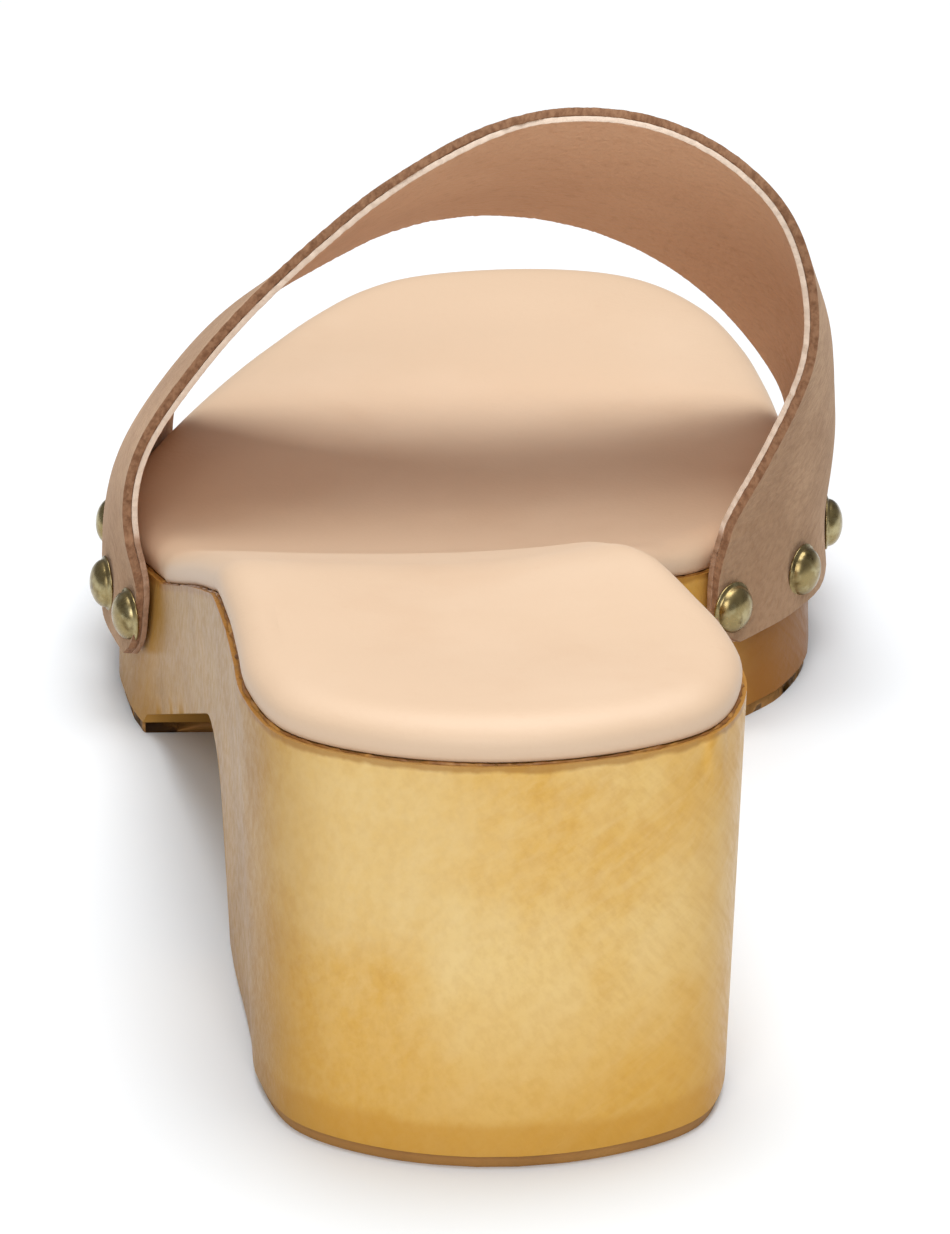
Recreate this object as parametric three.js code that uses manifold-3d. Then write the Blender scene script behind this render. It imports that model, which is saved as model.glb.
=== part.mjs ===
// A left clog sandal: one block of wood makes the heel and the forefoot, a padded leather insole
// covers its top, one suede strap crosses the instep, and round-headed nails hold the strap to
// the wood. Lengths are in millimetres: +X points to the inner (medial) side of the foot,
// +Y to the toe and +Z up from the floor.
import * as THREE from "three";
import { mergeVertices } from "three/addons/utils/BufferGeometryUtils.js";
import Module from "manifold-3d";

const wasm = await Module();
wasm.setup();

// Driving dimensions of the wooden base
const soleLength = 249;
const ballHalfWidth = 50;
const heelSeatHeight = 55.8;
const ballSeatHeight = 22;
const toeLift = 4.2;
const toeSpring = 7;
const archRise = 2.4;
const seatDish = 1.5;
const seatEdgeRound = 0.7;
const footEdgeRound = 0.9;

// Driving dimensions of the arch cut between the heel and the forefoot
const heelBreast = 64;
const forefootStart = 138.5;
const archRiser = 1.8;
const archRiserRun = 0.9;
const archSlope = 0.44;
const archFillet = 9;

// Driving dimensions of the pieces on the base
const seam = 0.3;
const rubberThickness = 1.5;
const rubberInset = 0.2;
const padThickness = 5;
const padInset = 1;
const padBulge = 0.4;
const padRoll = 4.6;

// Driving dimensions of the strap
const strapWall = 2.6;
const strapGap = 0.58;
const strapRise = 64.6;
const strapFoot = { medial: 12.5, lateral: 11 };
const strapCorner = 4;
const strapRear = 137;
const strapFront = 200;
const rearLean = 0.19;
const frontLean = 0.15;
const tabStep = 0.8;
const tabTop = 29;
const strapHold = 0.6;

// Driving dimensions of the nails
const nailHeadRadius = 4;
const nailHeadHeight = 2.6;
const nailRim = 0.4;
const nailShankRadius = 0.8;
const nailShankLength = 12;
const nailUp = { medial: 5.3, lateral: 6.1 };
const nailSink = 0.6;
const nailPlay = 0.35;

// Sampling
const stations = 50;
const acrossSole = 6;
const outlineSamples = 900;
const heelCover = 30;

// The outline of the wood's top edge, seen from above: how far along the sole from the heel, and
// the inner and outer edge as shares of the ball's half width. The foot columns say how far the
// wall's foot stands outside that edge, again as shares of the ball's half width.
const outlineRows = [
  { along: 0, medial: 0.02, lateral: 0.02, medialFoot: -0.024, lateralFoot: -0.024 },
  { along: 0.012, medial: 0.33, lateral: -0.28, medialFoot: -0.028, lateralFoot: -0.024 },
  { along: 0.044, medial: 0.575, lateral: -0.51, medialFoot: -0.036, lateralFoot: -0.024 },
  { along: 0.097, medial: 0.662, lateral: -0.612, medialFoot: -0.042, lateralFoot: -0.027 },
  { along: 0.145, medial: 0.632, lateral: -0.638, medialFoot: -0.042, lateralFoot: -0.034 },
  { along: 0.185, medial: 0.565, lateral: -0.658, medialFoot: -0.04, lateralFoot: -0.033 },
  { along: 0.225, medial: 0.495, lateral: -0.685, medialFoot: -0.04, lateralFoot: -0.037 },
  { along: 0.268, medial: 0.42, lateral: -0.711, medialFoot: -0.04, lateralFoot: -0.044 },
  { along: 0.362, medial: 0.385, lateral: -0.768, medialFoot: -0.02, lateralFoot: -0.03 },
  { along: 0.442, medial: 0.42, lateral: -0.816, medialFoot: 0, lateralFoot: -0.01 },
  { along: 0.482, medial: 0.47, lateral: -0.84, medialFoot: 0.01, lateralFoot: 0.005 },
  { along: 0.522, medial: 0.54, lateral: -0.858, medialFoot: 0.015, lateralFoot: 0.02 },
  { along: 0.546, medial: 0.595, lateral: -0.868, medialFoot: 0.03, lateralFoot: 0.035 },
  { along: 0.56, medial: 0.65, lateral: -0.875, medialFoot: 0.06, lateralFoot: 0.065 },
  { along: 0.578, medial: 0.73, lateral: -0.903, medialFoot: 0.095, lateralFoot: 0.062 },
  { along: 0.598, medial: 0.82, lateral: -0.941, medialFoot: 0.095, lateralFoot: 0.041 },
  { along: 0.622, medial: 0.912, lateral: -0.974, medialFoot: 0.065, lateralFoot: 0.027 },
  { along: 0.645, medial: 0.972, lateral: -0.986, medialFoot: 0.038, lateralFoot: 0.019 },
  { along: 0.663, medial: 0.998, lateral: -0.992, medialFoot: 0.02, lateralFoot: 0.013 },
  { along: 0.703, medial: 1.018, lateral: -0.973, medialFoot: 0.008, lateralFoot: 0.01 },
  { along: 0.773, medial: 0.985, lateral: -0.872, medialFoot: 0.005, lateralFoot: 0.005 },
  { along: 0.838, medial: 0.95, lateral: -0.742, medialFoot: 0, lateralFoot: 0 },
  { along: 0.89, medial: 0.9, lateral: -0.61, medialFoot: 0, lateralFoot: 0 },
  { along: 0.938, medial: 0.815, lateral: -0.462, medialFoot: 0, lateralFoot: 0 },
  { along: 0.972, medial: 0.685, lateral: -0.305, medialFoot: 0, lateralFoot: 0 },
  { along: 0.991, medial: 0.53, lateral: -0.13, medialFoot: 0, lateralFoot: 0 },
  { along: 1, medial: 0.25, lateral: 0.25, medialFoot: 0, lateralFoot: 0 },
];

// The side view of the wood's top: the share of the heel's height over the ball that is left.
const seatRows = [
  { along: 0, share: 1.01 },
  { along: 0.12, share: 0.99 },
  { along: 0.19, share: 0.98 },
  { along: 0.225, share: 0.97 },
  { along: 0.245, share: 0.945 },
  { along: 0.275, share: 0.865 },
  { along: 0.315, share: 0.755 },
  { along: 0.355, share: 0.64 },
  { along: 0.395, share: 0.52 },
  { along: 0.435, share: 0.398 },
  { along: 0.475, share: 0.278 },
  { along: 0.515, share: 0.158 },
  { along: 0.545, share: 0.07 },
  { along: 0.57, share: 0.02 },
  { along: 0.62, share: 0 },
  { along: 1, share: 0 },
];

// The strap's inner face from the outer side of the wood over the instep to the inner side, at its
// rear edge, in its middle and at its front edge: across as shares of the ball's half width, and up
// from the ball seat as shares of the strap's rise.
const strapRows = [
  {
    rearAcross: -0.828, rearUp: 0,
    midAcross: -0.998, midUp: 0,
    frontAcross: -0.866, frontUp: 0,
  },
  {
    rearAcross: -0.895, rearUp: 0.134,
    midAcross: -0.964, midUp: 0.116,
    frontAcross: -0.849, frontUp: 0.099,
  },
  {
    rearAcross: -0.885, rearUp: 0.274,
    midAcross: -0.895, midUp: 0.222,
    frontAcross: -0.797, frontUp: 0.191,
  },
  {
    rearAcross: -0.683, rearUp: 0.514,
    midAcross: -0.695, midUp: 0.42,
    frontAcross: -0.623, frontUp: 0.337,
  },
  {
    rearAcross: -0.417, rearUp: 0.716,
    midAcross: -0.43, midUp: 0.578,
    frontAcross: -0.409, frontUp: 0.449,
  },
  {
    rearAcross: -0.119, rearUp: 0.889,
    midAcross: -0.155, midUp: 0.71,
    frontAcross: -0.181, frontUp: 0.542,
  },
  {
    rearAcross: 0.222, rearUp: 0.999,
    midAcross: 0.15, midUp: 0.787,
    frontAcross: 0.073, frontUp: 0.577,
  },
  {
    rearAcross: 0.589, rearUp: 0.971,
    midAcross: 0.465, midUp: 0.772,
    frontAcross: 0.328, frontUp: 0.551,
  },
  {
    rearAcross: 0.881, rearUp: 0.798,
    midAcross: 0.77, midUp: 0.672,
    frontAcross: 0.564, frontUp: 0.471,
  },
  {
    rearAcross: 0.963, rearUp: 0.525,
    midAcross: 0.985, midUp: 0.475,
    frontAcross: 0.76, frontUp: 0.348,
  },
  {
    rearAcross: 0.822, rearUp: 0.261,
    midAcross: 1.045, midUp: 0.24,
    frontAcross: 0.915, frontUp: 0.19,
  },
  {
    rearAcross: 0.727, rearUp: 0.137,
    midAcross: 1.042, midUp: 0.124,
    frontAcross: 0.97, frontUp: 0.1,
  },
  {
    rearAcross: 0.668, rearUp: 0,
    midAcross: 1.022, midUp: 0,
    frontAcross: 0.986, frontUp: 0,
  },
];

// Where the nails stand along the strap's foot, as shares of the way from its rear to its front
const nailRows = [
  { medial: 0.045, lateral: 0.04 },
  { medial: 0.32, lateral: 0.24 },
  { medial: 0.6, lateral: 0.62 },
  { medial: 0.88, lateral: 0.88 },
];

const mix = THREE.MathUtils.lerp;
const clamp = THREE.MathUtils.clamp;

// A smooth value between a table's rows that never overshoots them.
function between(rows, key, column, at) {
  const last = rows.length - 1;
  let i = 0;
  while (i < last - 1 && at > rows[i + 1][key]) i++;
  const step = (k) => rows[k + 1][key] - rows[k][key];
  const slope = (k) => (rows[k + 1][column] - rows[k][column]) / step(k);
  const tangent = (k) => {
    if (k === 0 || k === last) return slope(Math.min(k, last - 1));
    const before = slope(k - 1);
    const after = slope(k);
    return before * after <= 0 ? 0 : (2 * before * after) / (before + after);
  };
  const t = clamp((at - rows[i][key]) / step(i), 0, 1);
  const h = step(i);
  const a = rows[i][column];
  const b = rows[i + 1][column];
  const ta = tangent(i) * h;
  const tb = tangent(i + 1) * h;
  const square = t * t;
  const cube = square * t;
  return a * (2 * cube - 3 * square + 1) + ta * (cube - 2 * square + t)
    + b * (3 * square - 2 * cube) + tb * (cube - square);
}

// The closed outline curve, from the heel's back round the inner side, the toe and the outer side
function outlineCurve() {
  const place = (row, side) =>
    new THREE.Vector3(row[side] * ballHalfWidth, row.along * soleLength, 0);
  const inner = outlineRows.map((row) => place(row, "medial"));
  const outer = outlineRows.slice(1, -1).reverse().map((row) => place(row, "lateral"));
  return new THREE.CatmullRomCurve3([...inner, ...outer], true, "centripetal");
}

// Both sides of the outline as dense chains of points that run from the heel to the toe
function outlineSides() {
  const loop = outlineCurve().getPoints(outlineSamples).slice(0, -1);
  const low = loop.reduce((best, p, i) => (p.y < loop[best].y ? i : best), 0);
  const ordered = [...loop.slice(low), ...loop.slice(0, low)];
  const high = ordered.reduce((best, p, i) => (p.y > ordered[best].y ? i : best), 0);
  return {
    medial: ordered.slice(0, high + 1),
    lateral: [ordered[0], ...ordered.slice(high).reverse()],
  };
}

const sides = outlineSides();

// The outline's point and outward normal on one side, at a distance from the heel
function rimAt(side, y) {
  const chain = sides[side];
  let i = 1;
  while (i < chain.length - 1 && chain[i].y < y) i++;
  const a = chain[i - 1];
  const b = chain[i];
  const t = clamp((y - a.y) / Math.max(b.y - a.y, 1e-9), 0, 1);
  const back = chain[Math.max(i - 4, 0)];
  const ahead = chain[Math.min(i + 3, chain.length - 1)];
  const run = ahead.clone().sub(back).normalize();
  const turn = side === "medial" ? 1 : -1;
  return {
    point: a.clone().lerp(b, t),
    normal: new THREE.Vector3(run.y * turn, -run.x * turn, 0),
  };
}

// Distances from the heel that step evenly along the inner side's edge
function evenStations() {
  const chain = sides.medial;
  const run = [0];
  for (let i = 1; i < chain.length; i++) {
    run.push(run[i - 1] + chain[i].distanceTo(chain[i - 1]));
  }
  const total = run[run.length - 1];
  const found = [];
  for (let k = 0; k <= stations; k++) {
    const goal = (total * k) / stations;
    let i = 1;
    while (i < run.length - 1 && run[i] < goal) i++;
    const t = (goal - run[i - 1]) / (run[i] - run[i - 1]);
    found.push(mix(chain[i - 1].y, chain[i].y, t));
  }
  return found;
}

const stationYs = evenStations();

// Where the foot rests on the wood: the height of the wood's top
function seatHeight(x, y) {
  const along = y / soleLength;
  const wide = clamp(along, 0.1, 0.88);
  const inner = between(outlineRows, "along", "medial", wide) * ballHalfWidth;
  const outer = between(outlineRows, "along", "lateral", wide) * ballHalfWidth;
  const half = (inner - outer) / 2;
  const side = clamp((x - (inner + outer) / 2) / half, -1.2, 1.2);
  const drop = heelSeatHeight - ballSeatHeight;
  const base = ballSeatHeight + drop * between(seatRows, "along", "share", along);
  const hump = Math.exp(-(((along - 0.27) / 0.13) ** 2));
  const rise = archRise * hump * Math.max(side, 0) ** 2;
  const lift = toeLift * Math.max((along - 0.77) / 0.23, 0) ** 2;
  const inside = THREE.MathUtils.smoothstep(Math.min(along, 1 - along), 0, 0.14);
  return base + rise + lift + seatDish * inside * (side * side - 1);
}

// The floor side: flat under the heel and the ball, rising to the toe
function springHeight(y) {
  return toeSpring * Math.max((y / soleLength - 0.77) / 0.23, 0) ** 2;
}

// One ring of outline points, from the heel's back round the inner side to the toe and back
function outlineRing(insetAt) {
  const ring = [];
  const put = (point, normal) => {
    ring.push(point.addScaledVector(normal, -insetAt(point, normal)));
  };
  const add = (side, k) => {
    const { point, normal } = rimAt(side, stationYs[k]);
    put(point, normal);
  };
  put(sides.medial[0].clone(), new THREE.Vector3(0, -1, 0));
  for (let k = 1; k < stations; k++) add("medial", k);
  put(sides.medial[sides.medial.length - 1].clone(), new THREE.Vector3(0, 1, 0));
  for (let k = stations - 1; k > 0; k--) add("lateral", k);
  return ring;
}

// A closed body over the outline: rings from the bottom up, a curved bottom and a curved top.
// Each level has an inset and a height, and both change with the place on the outline.
function soleBody(levels) {
  const vertices = [];
  const triangles = [];
  const count = 2 * stations;
  const rings = levels.map(({ inset, height }) => {
    const first = vertices.length;
    for (const p of outlineRing(inset)) {
      vertices.push(new THREE.Vector3(p.x, p.y, height(p.x, p.y)));
    }
    return first;
  });
  for (let r = 0; r + 1 < rings.length; r++) {
    for (let i = 0; i < count; i++) {
      const j = (i + 1) % count;
      const [a, b, c, d] = [rings[r] + i, rings[r] + j, rings[r + 1] + j, rings[r + 1] + i];
      triangles.push([a, b, c], [a, c, d]);
    }
  }
  const cap = (first, height, up) => {
    const row = (k) => {
      if (k === 0) return [first];
      if (k === stations) return [first + stations];
      const a = first + k;
      const b = first + count - k;
      const line = [a];
      for (let j = 1; j < acrossSole; j++) {
        const p = vertices[a].clone().lerp(vertices[b], j / acrossSole);
        p.z = height(p.x, p.y);
        line.push(vertices.push(p) - 1);
      }
      return [...line, b];
    };
    const face = (a, b, c) => triangles.push(up ? [a, b, c] : [a, c, b]);
    let before = row(0);
    for (let k = 1; k <= stations; k++) {
      const now = row(k);
      const wide = Math.max(before.length, now.length);
      for (let j = 0; j + 1 < wide; j++) {
        if (before.length === 1) {
          face(before[0], now[j], now[j + 1]);
        } else if (now.length === 1) {
          face(now[0], before[j + 1], before[j]);
        } else {
          face(before[j], now[j], now[j + 1]);
          face(before[j], now[j + 1], before[j + 1]);
        }
      }
      before = now;
    }
  };
  cap(rings[rings.length - 1], levels[levels.length - 1].height, true);
  cap(rings[0], levels[0].height, false);
  return meshGeometry(vertices, triangles);
}

function meshGeometry(vertices, triangles) {
  const geometry = new THREE.BufferGeometry();
  geometry.setAttribute(
    "position",
    new THREE.Float32BufferAttribute(vertices.flatMap((p) => [p.x, p.y, p.z]), 3),
  );
  geometry.setIndex(triangles.flat());
  return geometry;
}

// Booleans: three.js geometry to a solid and back
function toSolid(geometry) {
  const bare = geometry.clone();
  bare.deleteAttribute("normal");
  bare.deleteAttribute("uv");
  const merged = mergeVertices(bare, 1e-4);
  return new wasm.Manifold(
    new wasm.Mesh({
      numProp: 3,
      vertProperties: merged.attributes.position.array,
      triVerts: new Uint32Array(merged.index.array),
    }),
  );
}

function toGeometry(solid) {
  const { vertProperties, triVerts } = solid.getMesh();
  const geometry = new THREE.BufferGeometry();
  geometry.setAttribute("position", new THREE.BufferAttribute(vertProperties, 3));
  geometry.setIndex(new THREE.BufferAttribute(triVerts, 1));
  return geometry;
}

// How far the wall stands outside the top edge at a height
function wallSpread(point, normal, z) {
  const along = clamp(point.y / soleLength, 0, 1);
  const inner = between(outlineRows, "along", "medialFoot", along);
  const outer = between(outlineRows, "along", "lateralFoot", along);
  const foot = mix(outer, inner, (normal.x + 1) / 2) * ballHalfWidth;
  return foot * (1 - z / seatHeight(point.x, point.y));
}

// A shape drawn in the side view, with Y across the page and Z up it, as a bar across the sole
function sideBar(shape) {
  const width = 4 * ballHalfWidth;
  const bar = new THREE.ExtrudeGeometry(shape, { depth: width, bevelEnabled: false });
  bar.translate(0, 0, -width / 2);
  const turn = new THREE.Matrix4().makeBasis(
    new THREE.Vector3(0, 1, 0),
    new THREE.Vector3(0, 0, 1),
    new THREE.Vector3(1, 0, 0),
  );
  return toSolid(bar.applyMatrix4(turn));
}

// The arch: a straight breast behind, a fillet, a ramp down to the forefoot and a steep last step
function archShape() {
  const floor = -10;
  const ramp = Math.hypot(1, archSlope);
  const centreY = heelBreast + archFillet;
  const rampY = forefootStart - archRiserRun;
  const rampZ = rubberThickness + archRiser;
  const centreZ = rampZ + archSlope * (rampY - centreY) - archFillet * ramp;
  const shape = new THREE.Shape();
  shape.moveTo(heelBreast, floor);
  shape.lineTo(forefootStart, floor);
  shape.lineTo(forefootStart, rubberThickness);
  shape.lineTo(rampY, rampZ);
  shape.lineTo(centreY + (archFillet * archSlope) / ramp, centreZ + archFillet / ramp);
  shape.absarc(centreY, centreZ, archFillet, Math.atan2(1, archSlope), Math.PI, false);
  shape.lineTo(heelBreast, floor);
  return shape;
}

function boxShape(fromY, toY) {
  const low = -20;
  const high = 20;
  const shape = new THREE.Shape();
  shape.moveTo(fromY, low);
  shape.lineTo(toY, low);
  shape.lineTo(toY, high);
  shape.lineTo(fromY, high);
  shape.closePath();
  return shape;
}

// Wooden base: heel, waist and forefoot in one block
function woodBlock() {
  const foot = (x, y) => springHeight(y) + rubberThickness + seam;
  const level = (height, more) => ({
    inset: (p, n) => more - wallSpread(p, n, height(p.x, p.y)),
    height,
  });
  const block = soleBody([
    level(foot, footEdgeRound),
    level((x, y) => foot(x, y) + footEdgeRound, 0),
    level((x, y) => seatHeight(x, y) - seatEdgeRound, 0),
    level(seatHeight, seatEdgeRound),
  ]);
  return toSolid(block).subtract(sideBar(archShape()));
}

// The rubber under the wood, before it is parted into the heel's piece and the forefoot's piece
function rubberSheet() {
  const level = (height) => ({
    inset: (p, n) => footEdgeRound / 2 + rubberInset - wallSpread(p, n, 0),
    height,
  });
  const under = (x, y) => springHeight(y);
  const over = (x, y) => springHeight(y) + rubberThickness;
  return toSolid(soleBody([level(under), level(over)]));
}

// Padded insole: flat where it is glued to the wood, rolled over at its edge
function insolePad() {
  const raised = (share) => (x, y) => seatHeight(x, y) + seam + padThickness * share;
  const level = (inset, share) => ({ inset: () => inset, height: raised(share) });
  return soleBody([
    level(padInset, 0),
    level(padInset - padBulge, 0.28),
    level(padInset + padRoll * 0.08, 0.62),
    level(padInset + padRoll * 0.4, 0.9),
    level(padInset + padRoll, 1),
  ]);
}

// The strap's rear and front edges each lie in a plane that leans: their place at a height
const rearEdgeY = (z) => strapRear + rearLean * z;
const frontEdgeY = (z) => strapFront - frontLean * z;

// One section of the strap's inner face above the wood: the table's rows, a share of the way from
// the rear edge to the front edge, drawn in to meet the wood's own outline at both ends.
function strapSection(share) {
  const rest = 1 - share;
  const blend = (row, way) =>
    row["rear" + way] * rest * (rest - share)
    + row["mid" + way] * 4 * share * rest
    + row["front" + way] * share * (share - rest);
  const y = mix(rearEdgeY(ballSeatHeight) - tabStep, frontEdgeY(ballSeatHeight), share);
  const pull = {};
  for (const side of ["medial", "lateral"]) {
    const { point, normal } = rimAt(side, y);
    const first = side === "lateral" ? strapRows[0] : strapRows[strapRows.length - 1];
    pull[side] = point.x + strapGap / normal.x - blend(first, "Across") * ballHalfWidth;
  }
  const points = strapRows.map((row) => {
    const across = blend(row, "Across") * ballHalfWidth;
    const up = blend(row, "Up") * strapRise;
    const hold = Math.max(1 - up / (strapRise * strapHold), 0) ** 2;
    const side = across > 0 ? "medial" : "lateral";
    return new THREE.Vector3(across + pull[side] * hold, 0, ballSeatHeight + up);
  });
  return new THREE.CatmullRomCurve3(points, false, "centripetal");
}

// The steps over the strap, from its outer foot to its inner foot: up the wood's wall, then along
// the section, whose rows count as one unit each.
const wallSteps = [0, 0.05, 0.15, 0.32, 0.65];
const overSteps = [0, 0.45, 0.9, 1.05, 1.6, 2.1];

function strapSteps() {
  const last = strapRows.length - 1;
  const side = (name) => [
    ...wallSteps.map((wall) => ({ side: name, wall })),
    ...overSteps.map((over) => ({ side: name, over: name === "lateral" ? over : last - over })),
  ];
  const crown = [];
  for (let over = 2.55; over < last - 2.3; over += 0.44) crown.push({ side: "lateral", over });
  return [...side("lateral"), ...crown, ...side("medial").reverse()];
}

// How far the strap's end is cut back at a height: round corners, and a tab that stands out
function endCut(side, z, withTab) {
  const up = z - strapFoot[side];
  const tab = withTab && z < tabTop ? -tabStep : 0;
  if (up >= strapCorner) {
    return tab;
  }
  return tab + strapCorner - Math.sqrt(strapCorner ** 2 - (strapCorner - up) ** 2);
}

// A point of the strap's inner face, a share of the way from its rear edge to its front edge
function strapPoint(step, share, section) {
  const edgeToEdge = (z) => {
    const rear = rearEdgeY(z) + endCut(step.side, z, true);
    const front = frontEdgeY(z) - endCut(step.side, z, false);
    return mix(rear, front, share);
  };
  if (step.over === undefined) {
    const z = mix(strapFoot[step.side], ballSeatHeight, step.wall);
    const { point, normal } = rimAt(step.side, edgeToEdge(z));
    point.addScaledVector(normal, strapGap + wallSpread(point, normal, z));
    return point.setZ(z);
  }
  const point = section.getPoint(step.over / (strapRows.length - 1));
  return point.setY(edgeToEdge(point.z));
}

const strapShares = [0, 0.04, 0.08, 0.12, 0.17, 0.22, 0.29, 0.38, 0.48, 0.59, 0.7, 0.81, 0.91, 1];

// The strap: its inner face, and an outer face one wall away from it
function strapBody() {
  const steps = strapSteps();
  const wide = steps.length;
  const deep = strapShares.length;
  const sections = strapShares.map((share) => strapSection(share));
  const inner = steps.map((step) =>
    strapShares.map((share, j) => strapPoint(step, share, sections[j])),
  );
  const outer = inner.map((row, i) =>
    row.map((p, j) => {
      const past = inner[Math.max(i - 1, 0)][j];
      const next = inner[Math.min(i + 1, wide - 1)][j];
      const acrossRun = next.clone().sub(past);
      const alongRun = row[Math.min(j + 1, deep - 1)].clone().sub(row[Math.max(j - 1, 0)]);
      return p.clone().addScaledVector(acrossRun.cross(alongRun).normalize(), strapWall);
    }),
  );
  const vertices = [...inner.flat(), ...outer.flat()];
  const at = (face, i, j) => face * wide * deep + i * deep + j;
  const triangles = [];
  const quad = (a, b, c, d) => triangles.push([a, b, c], [a, c, d]);
  for (let i = 0; i + 1 < wide; i++) {
    for (let j = 0; j + 1 < deep; j++) {
      quad(at(0, i, j), at(0, i, j + 1), at(0, i + 1, j + 1), at(0, i + 1, j));
      quad(at(1, i, j), at(1, i + 1, j), at(1, i + 1, j + 1), at(1, i, j + 1));
    }
    quad(at(0, i, 0), at(0, i + 1, 0), at(1, i + 1, 0), at(1, i, 0));
    quad(at(0, i, deep - 1), at(1, i, deep - 1), at(1, i + 1, deep - 1), at(0, i + 1, deep - 1));
  }
  for (let j = 0; j + 1 < deep; j++) {
    quad(at(0, 0, j), at(1, 0, j), at(1, 0, j + 1), at(0, 0, j + 1));
    quad(at(0, wide - 1, j), at(0, wide - 1, j + 1), at(1, wide - 1, j + 1), at(1, wide - 1, j));
  }
  return toSolid(meshGeometry(vertices, triangles));
}

// Where each nail goes along the wood's edge: the middle of its head's underside, sunk into the
// strap's outer face, and the way out.
function nailPlaces() {
  const found = [];
  for (const side of ["medial", "lateral"]) {
    const z = strapFoot[side] + nailUp[side];
    const fine = 200;
    const rims = [];
    const run = [0];
    for (let i = 0; i <= fine; i++) {
      rims.push(rimAt(side, mix(rearEdgeY(z), frontEdgeY(z), i / fine)));
      if (i) run.push(run[i - 1] + rims[i].point.distanceTo(rims[i - 1].point));
    }
    nailRows.forEach((row, i) => {
      const { point, normal } = rims[run.findIndex((length) => length >= row[side] * run[fine])];
      const out = wallSpread(point, normal, z) + strapGap + strapWall - nailSink;
      point.addScaledVector(normal, out).setZ(z);
      found.push({ name: `nail_${side}_${i + 1}`, point, normal });
    });
  }
  return found;
}

// A solid of revolution about the nail's own axis, moved to the nail's place
function alongNail(profile, sidesRound, place) {
  const turned = new THREE.LatheGeometry(profile, sidesRound);
  turned.applyQuaternion(
    new THREE.Quaternion().setFromUnitVectors(new THREE.Vector3(0, 1, 0), place.normal),
  );
  return turned.translate(place.point.x, place.point.y, place.point.z);
}

function nailProfile() {
  const point = nailShankRadius * 2;
  const profile = [
    new THREE.Vector2(0, -nailShankLength),
    new THREE.Vector2(nailShankRadius, point - nailShankLength),
    new THREE.Vector2(nailShankRadius, 0),
    new THREE.Vector2(nailHeadRadius, 0),
    new THREE.Vector2(nailHeadRadius, nailRim),
  ];
  const rings = 4;
  for (let i = 1; i <= rings; i++) {
    const angle = (Math.PI / 2) * (i / rings);
    profile.push(
      new THREE.Vector2(
        i === rings ? 0 : nailHeadRadius * Math.cos(angle),
        nailRim + (nailHeadHeight - nailRim) * Math.sin(angle),
      ),
    );
  }
  return profile;
}

function drill(radius, from, to) {
  return [
    new THREE.Vector2(0, from),
    new THREE.Vector2(radius, from),
    new THREE.Vector2(radius, to),
    new THREE.Vector2(0, to),
  ];
}

// Colours and finishes
const finish = {
  wood: new THREE.MeshStandardMaterial({ color: 0xd9b46c, roughness: 0.45 }),
  rubber: new THREE.MeshStandardMaterial({ color: 0x9a6234, roughness: 0.75 }),
  leather: new THREE.MeshStandardMaterial({ color: 0xefd2b4, roughness: 0.55 }),
  suede: new THREE.MeshStandardMaterial({ color: 0xa27a58, roughness: 0.95 }),
  brass: new THREE.MeshStandardMaterial({ color: 0xa88b4a, roughness: 0.3, metalness: 1 }),
};

// The assembly
function buildClog() {
  const clog = new THREE.Group();
  const add = (name, geometry, material) => {
    const mesh = new THREE.Mesh(geometry, material);
    mesh.name = name;
    clog.add(mesh);
  };
  const nails = nailPlaces();
  const holeRadius = nailShankRadius + nailPlay;
  const depth = nailShankLength + nailPlay;
  const headRoom = nailHeadHeight * 2;
  let wood = woodBlock();
  let strap = strapBody();
  for (const place of nails) {
    const hole = toSolid(alongNail(drill(holeRadius, -depth, headRoom), 8, place));
    const pressed = toSolid(alongNail(drill(nailHeadRadius + nailPlay, -seam, headRoom), 16, place));
    wood = wood.subtract(hole);
    strap = strap.subtract(hole).subtract(pressed);
    add(place.name, alongNail(nailProfile(), 12, place), finish.brass);
  }
  const rubber = rubberSheet();
  add("wood_base", toGeometry(wood), finish.wood);
  const underHeel = sideBar(boxShape(-heelCover, heelBreast));
  const underForefoot = sideBar(boxShape(forefootStart, soleLength + heelCover));
  add("heel_rubber", toGeometry(rubber.intersect(underHeel)), finish.rubber);
  add("forefoot_rubber", toGeometry(rubber.intersect(underForefoot)), finish.rubber);
  add("insole", insolePad(), finish.leather);
  add("strap", toGeometry(strap), finish.suede);
  return clog;
}

// The origin is on the floor, under the middle of the whole shoe.
const clog = buildClog();
const reach = new THREE.Box3().setFromObject(clog);
const middle = reach.getCenter(new THREE.Vector3());
clog.position.set(-middle.x, -middle.y, -reach.min.z);

export default clog;
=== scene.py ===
# %% [markdown]
# A wooden clog sandal for the left foot stands empty on its sole. A block of lacquered wood
# carries a padded leather insole, a wide suede strap crosses the instep, and domed brass nails
# hold the strap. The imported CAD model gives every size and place. This lesson dresses it: each
# piece is made again with a finer surface, or keeps its solid and gets a finish made of nodes.

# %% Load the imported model
import math

import bmesh
import bpy
import numpy as np
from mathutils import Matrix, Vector, noise


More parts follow.
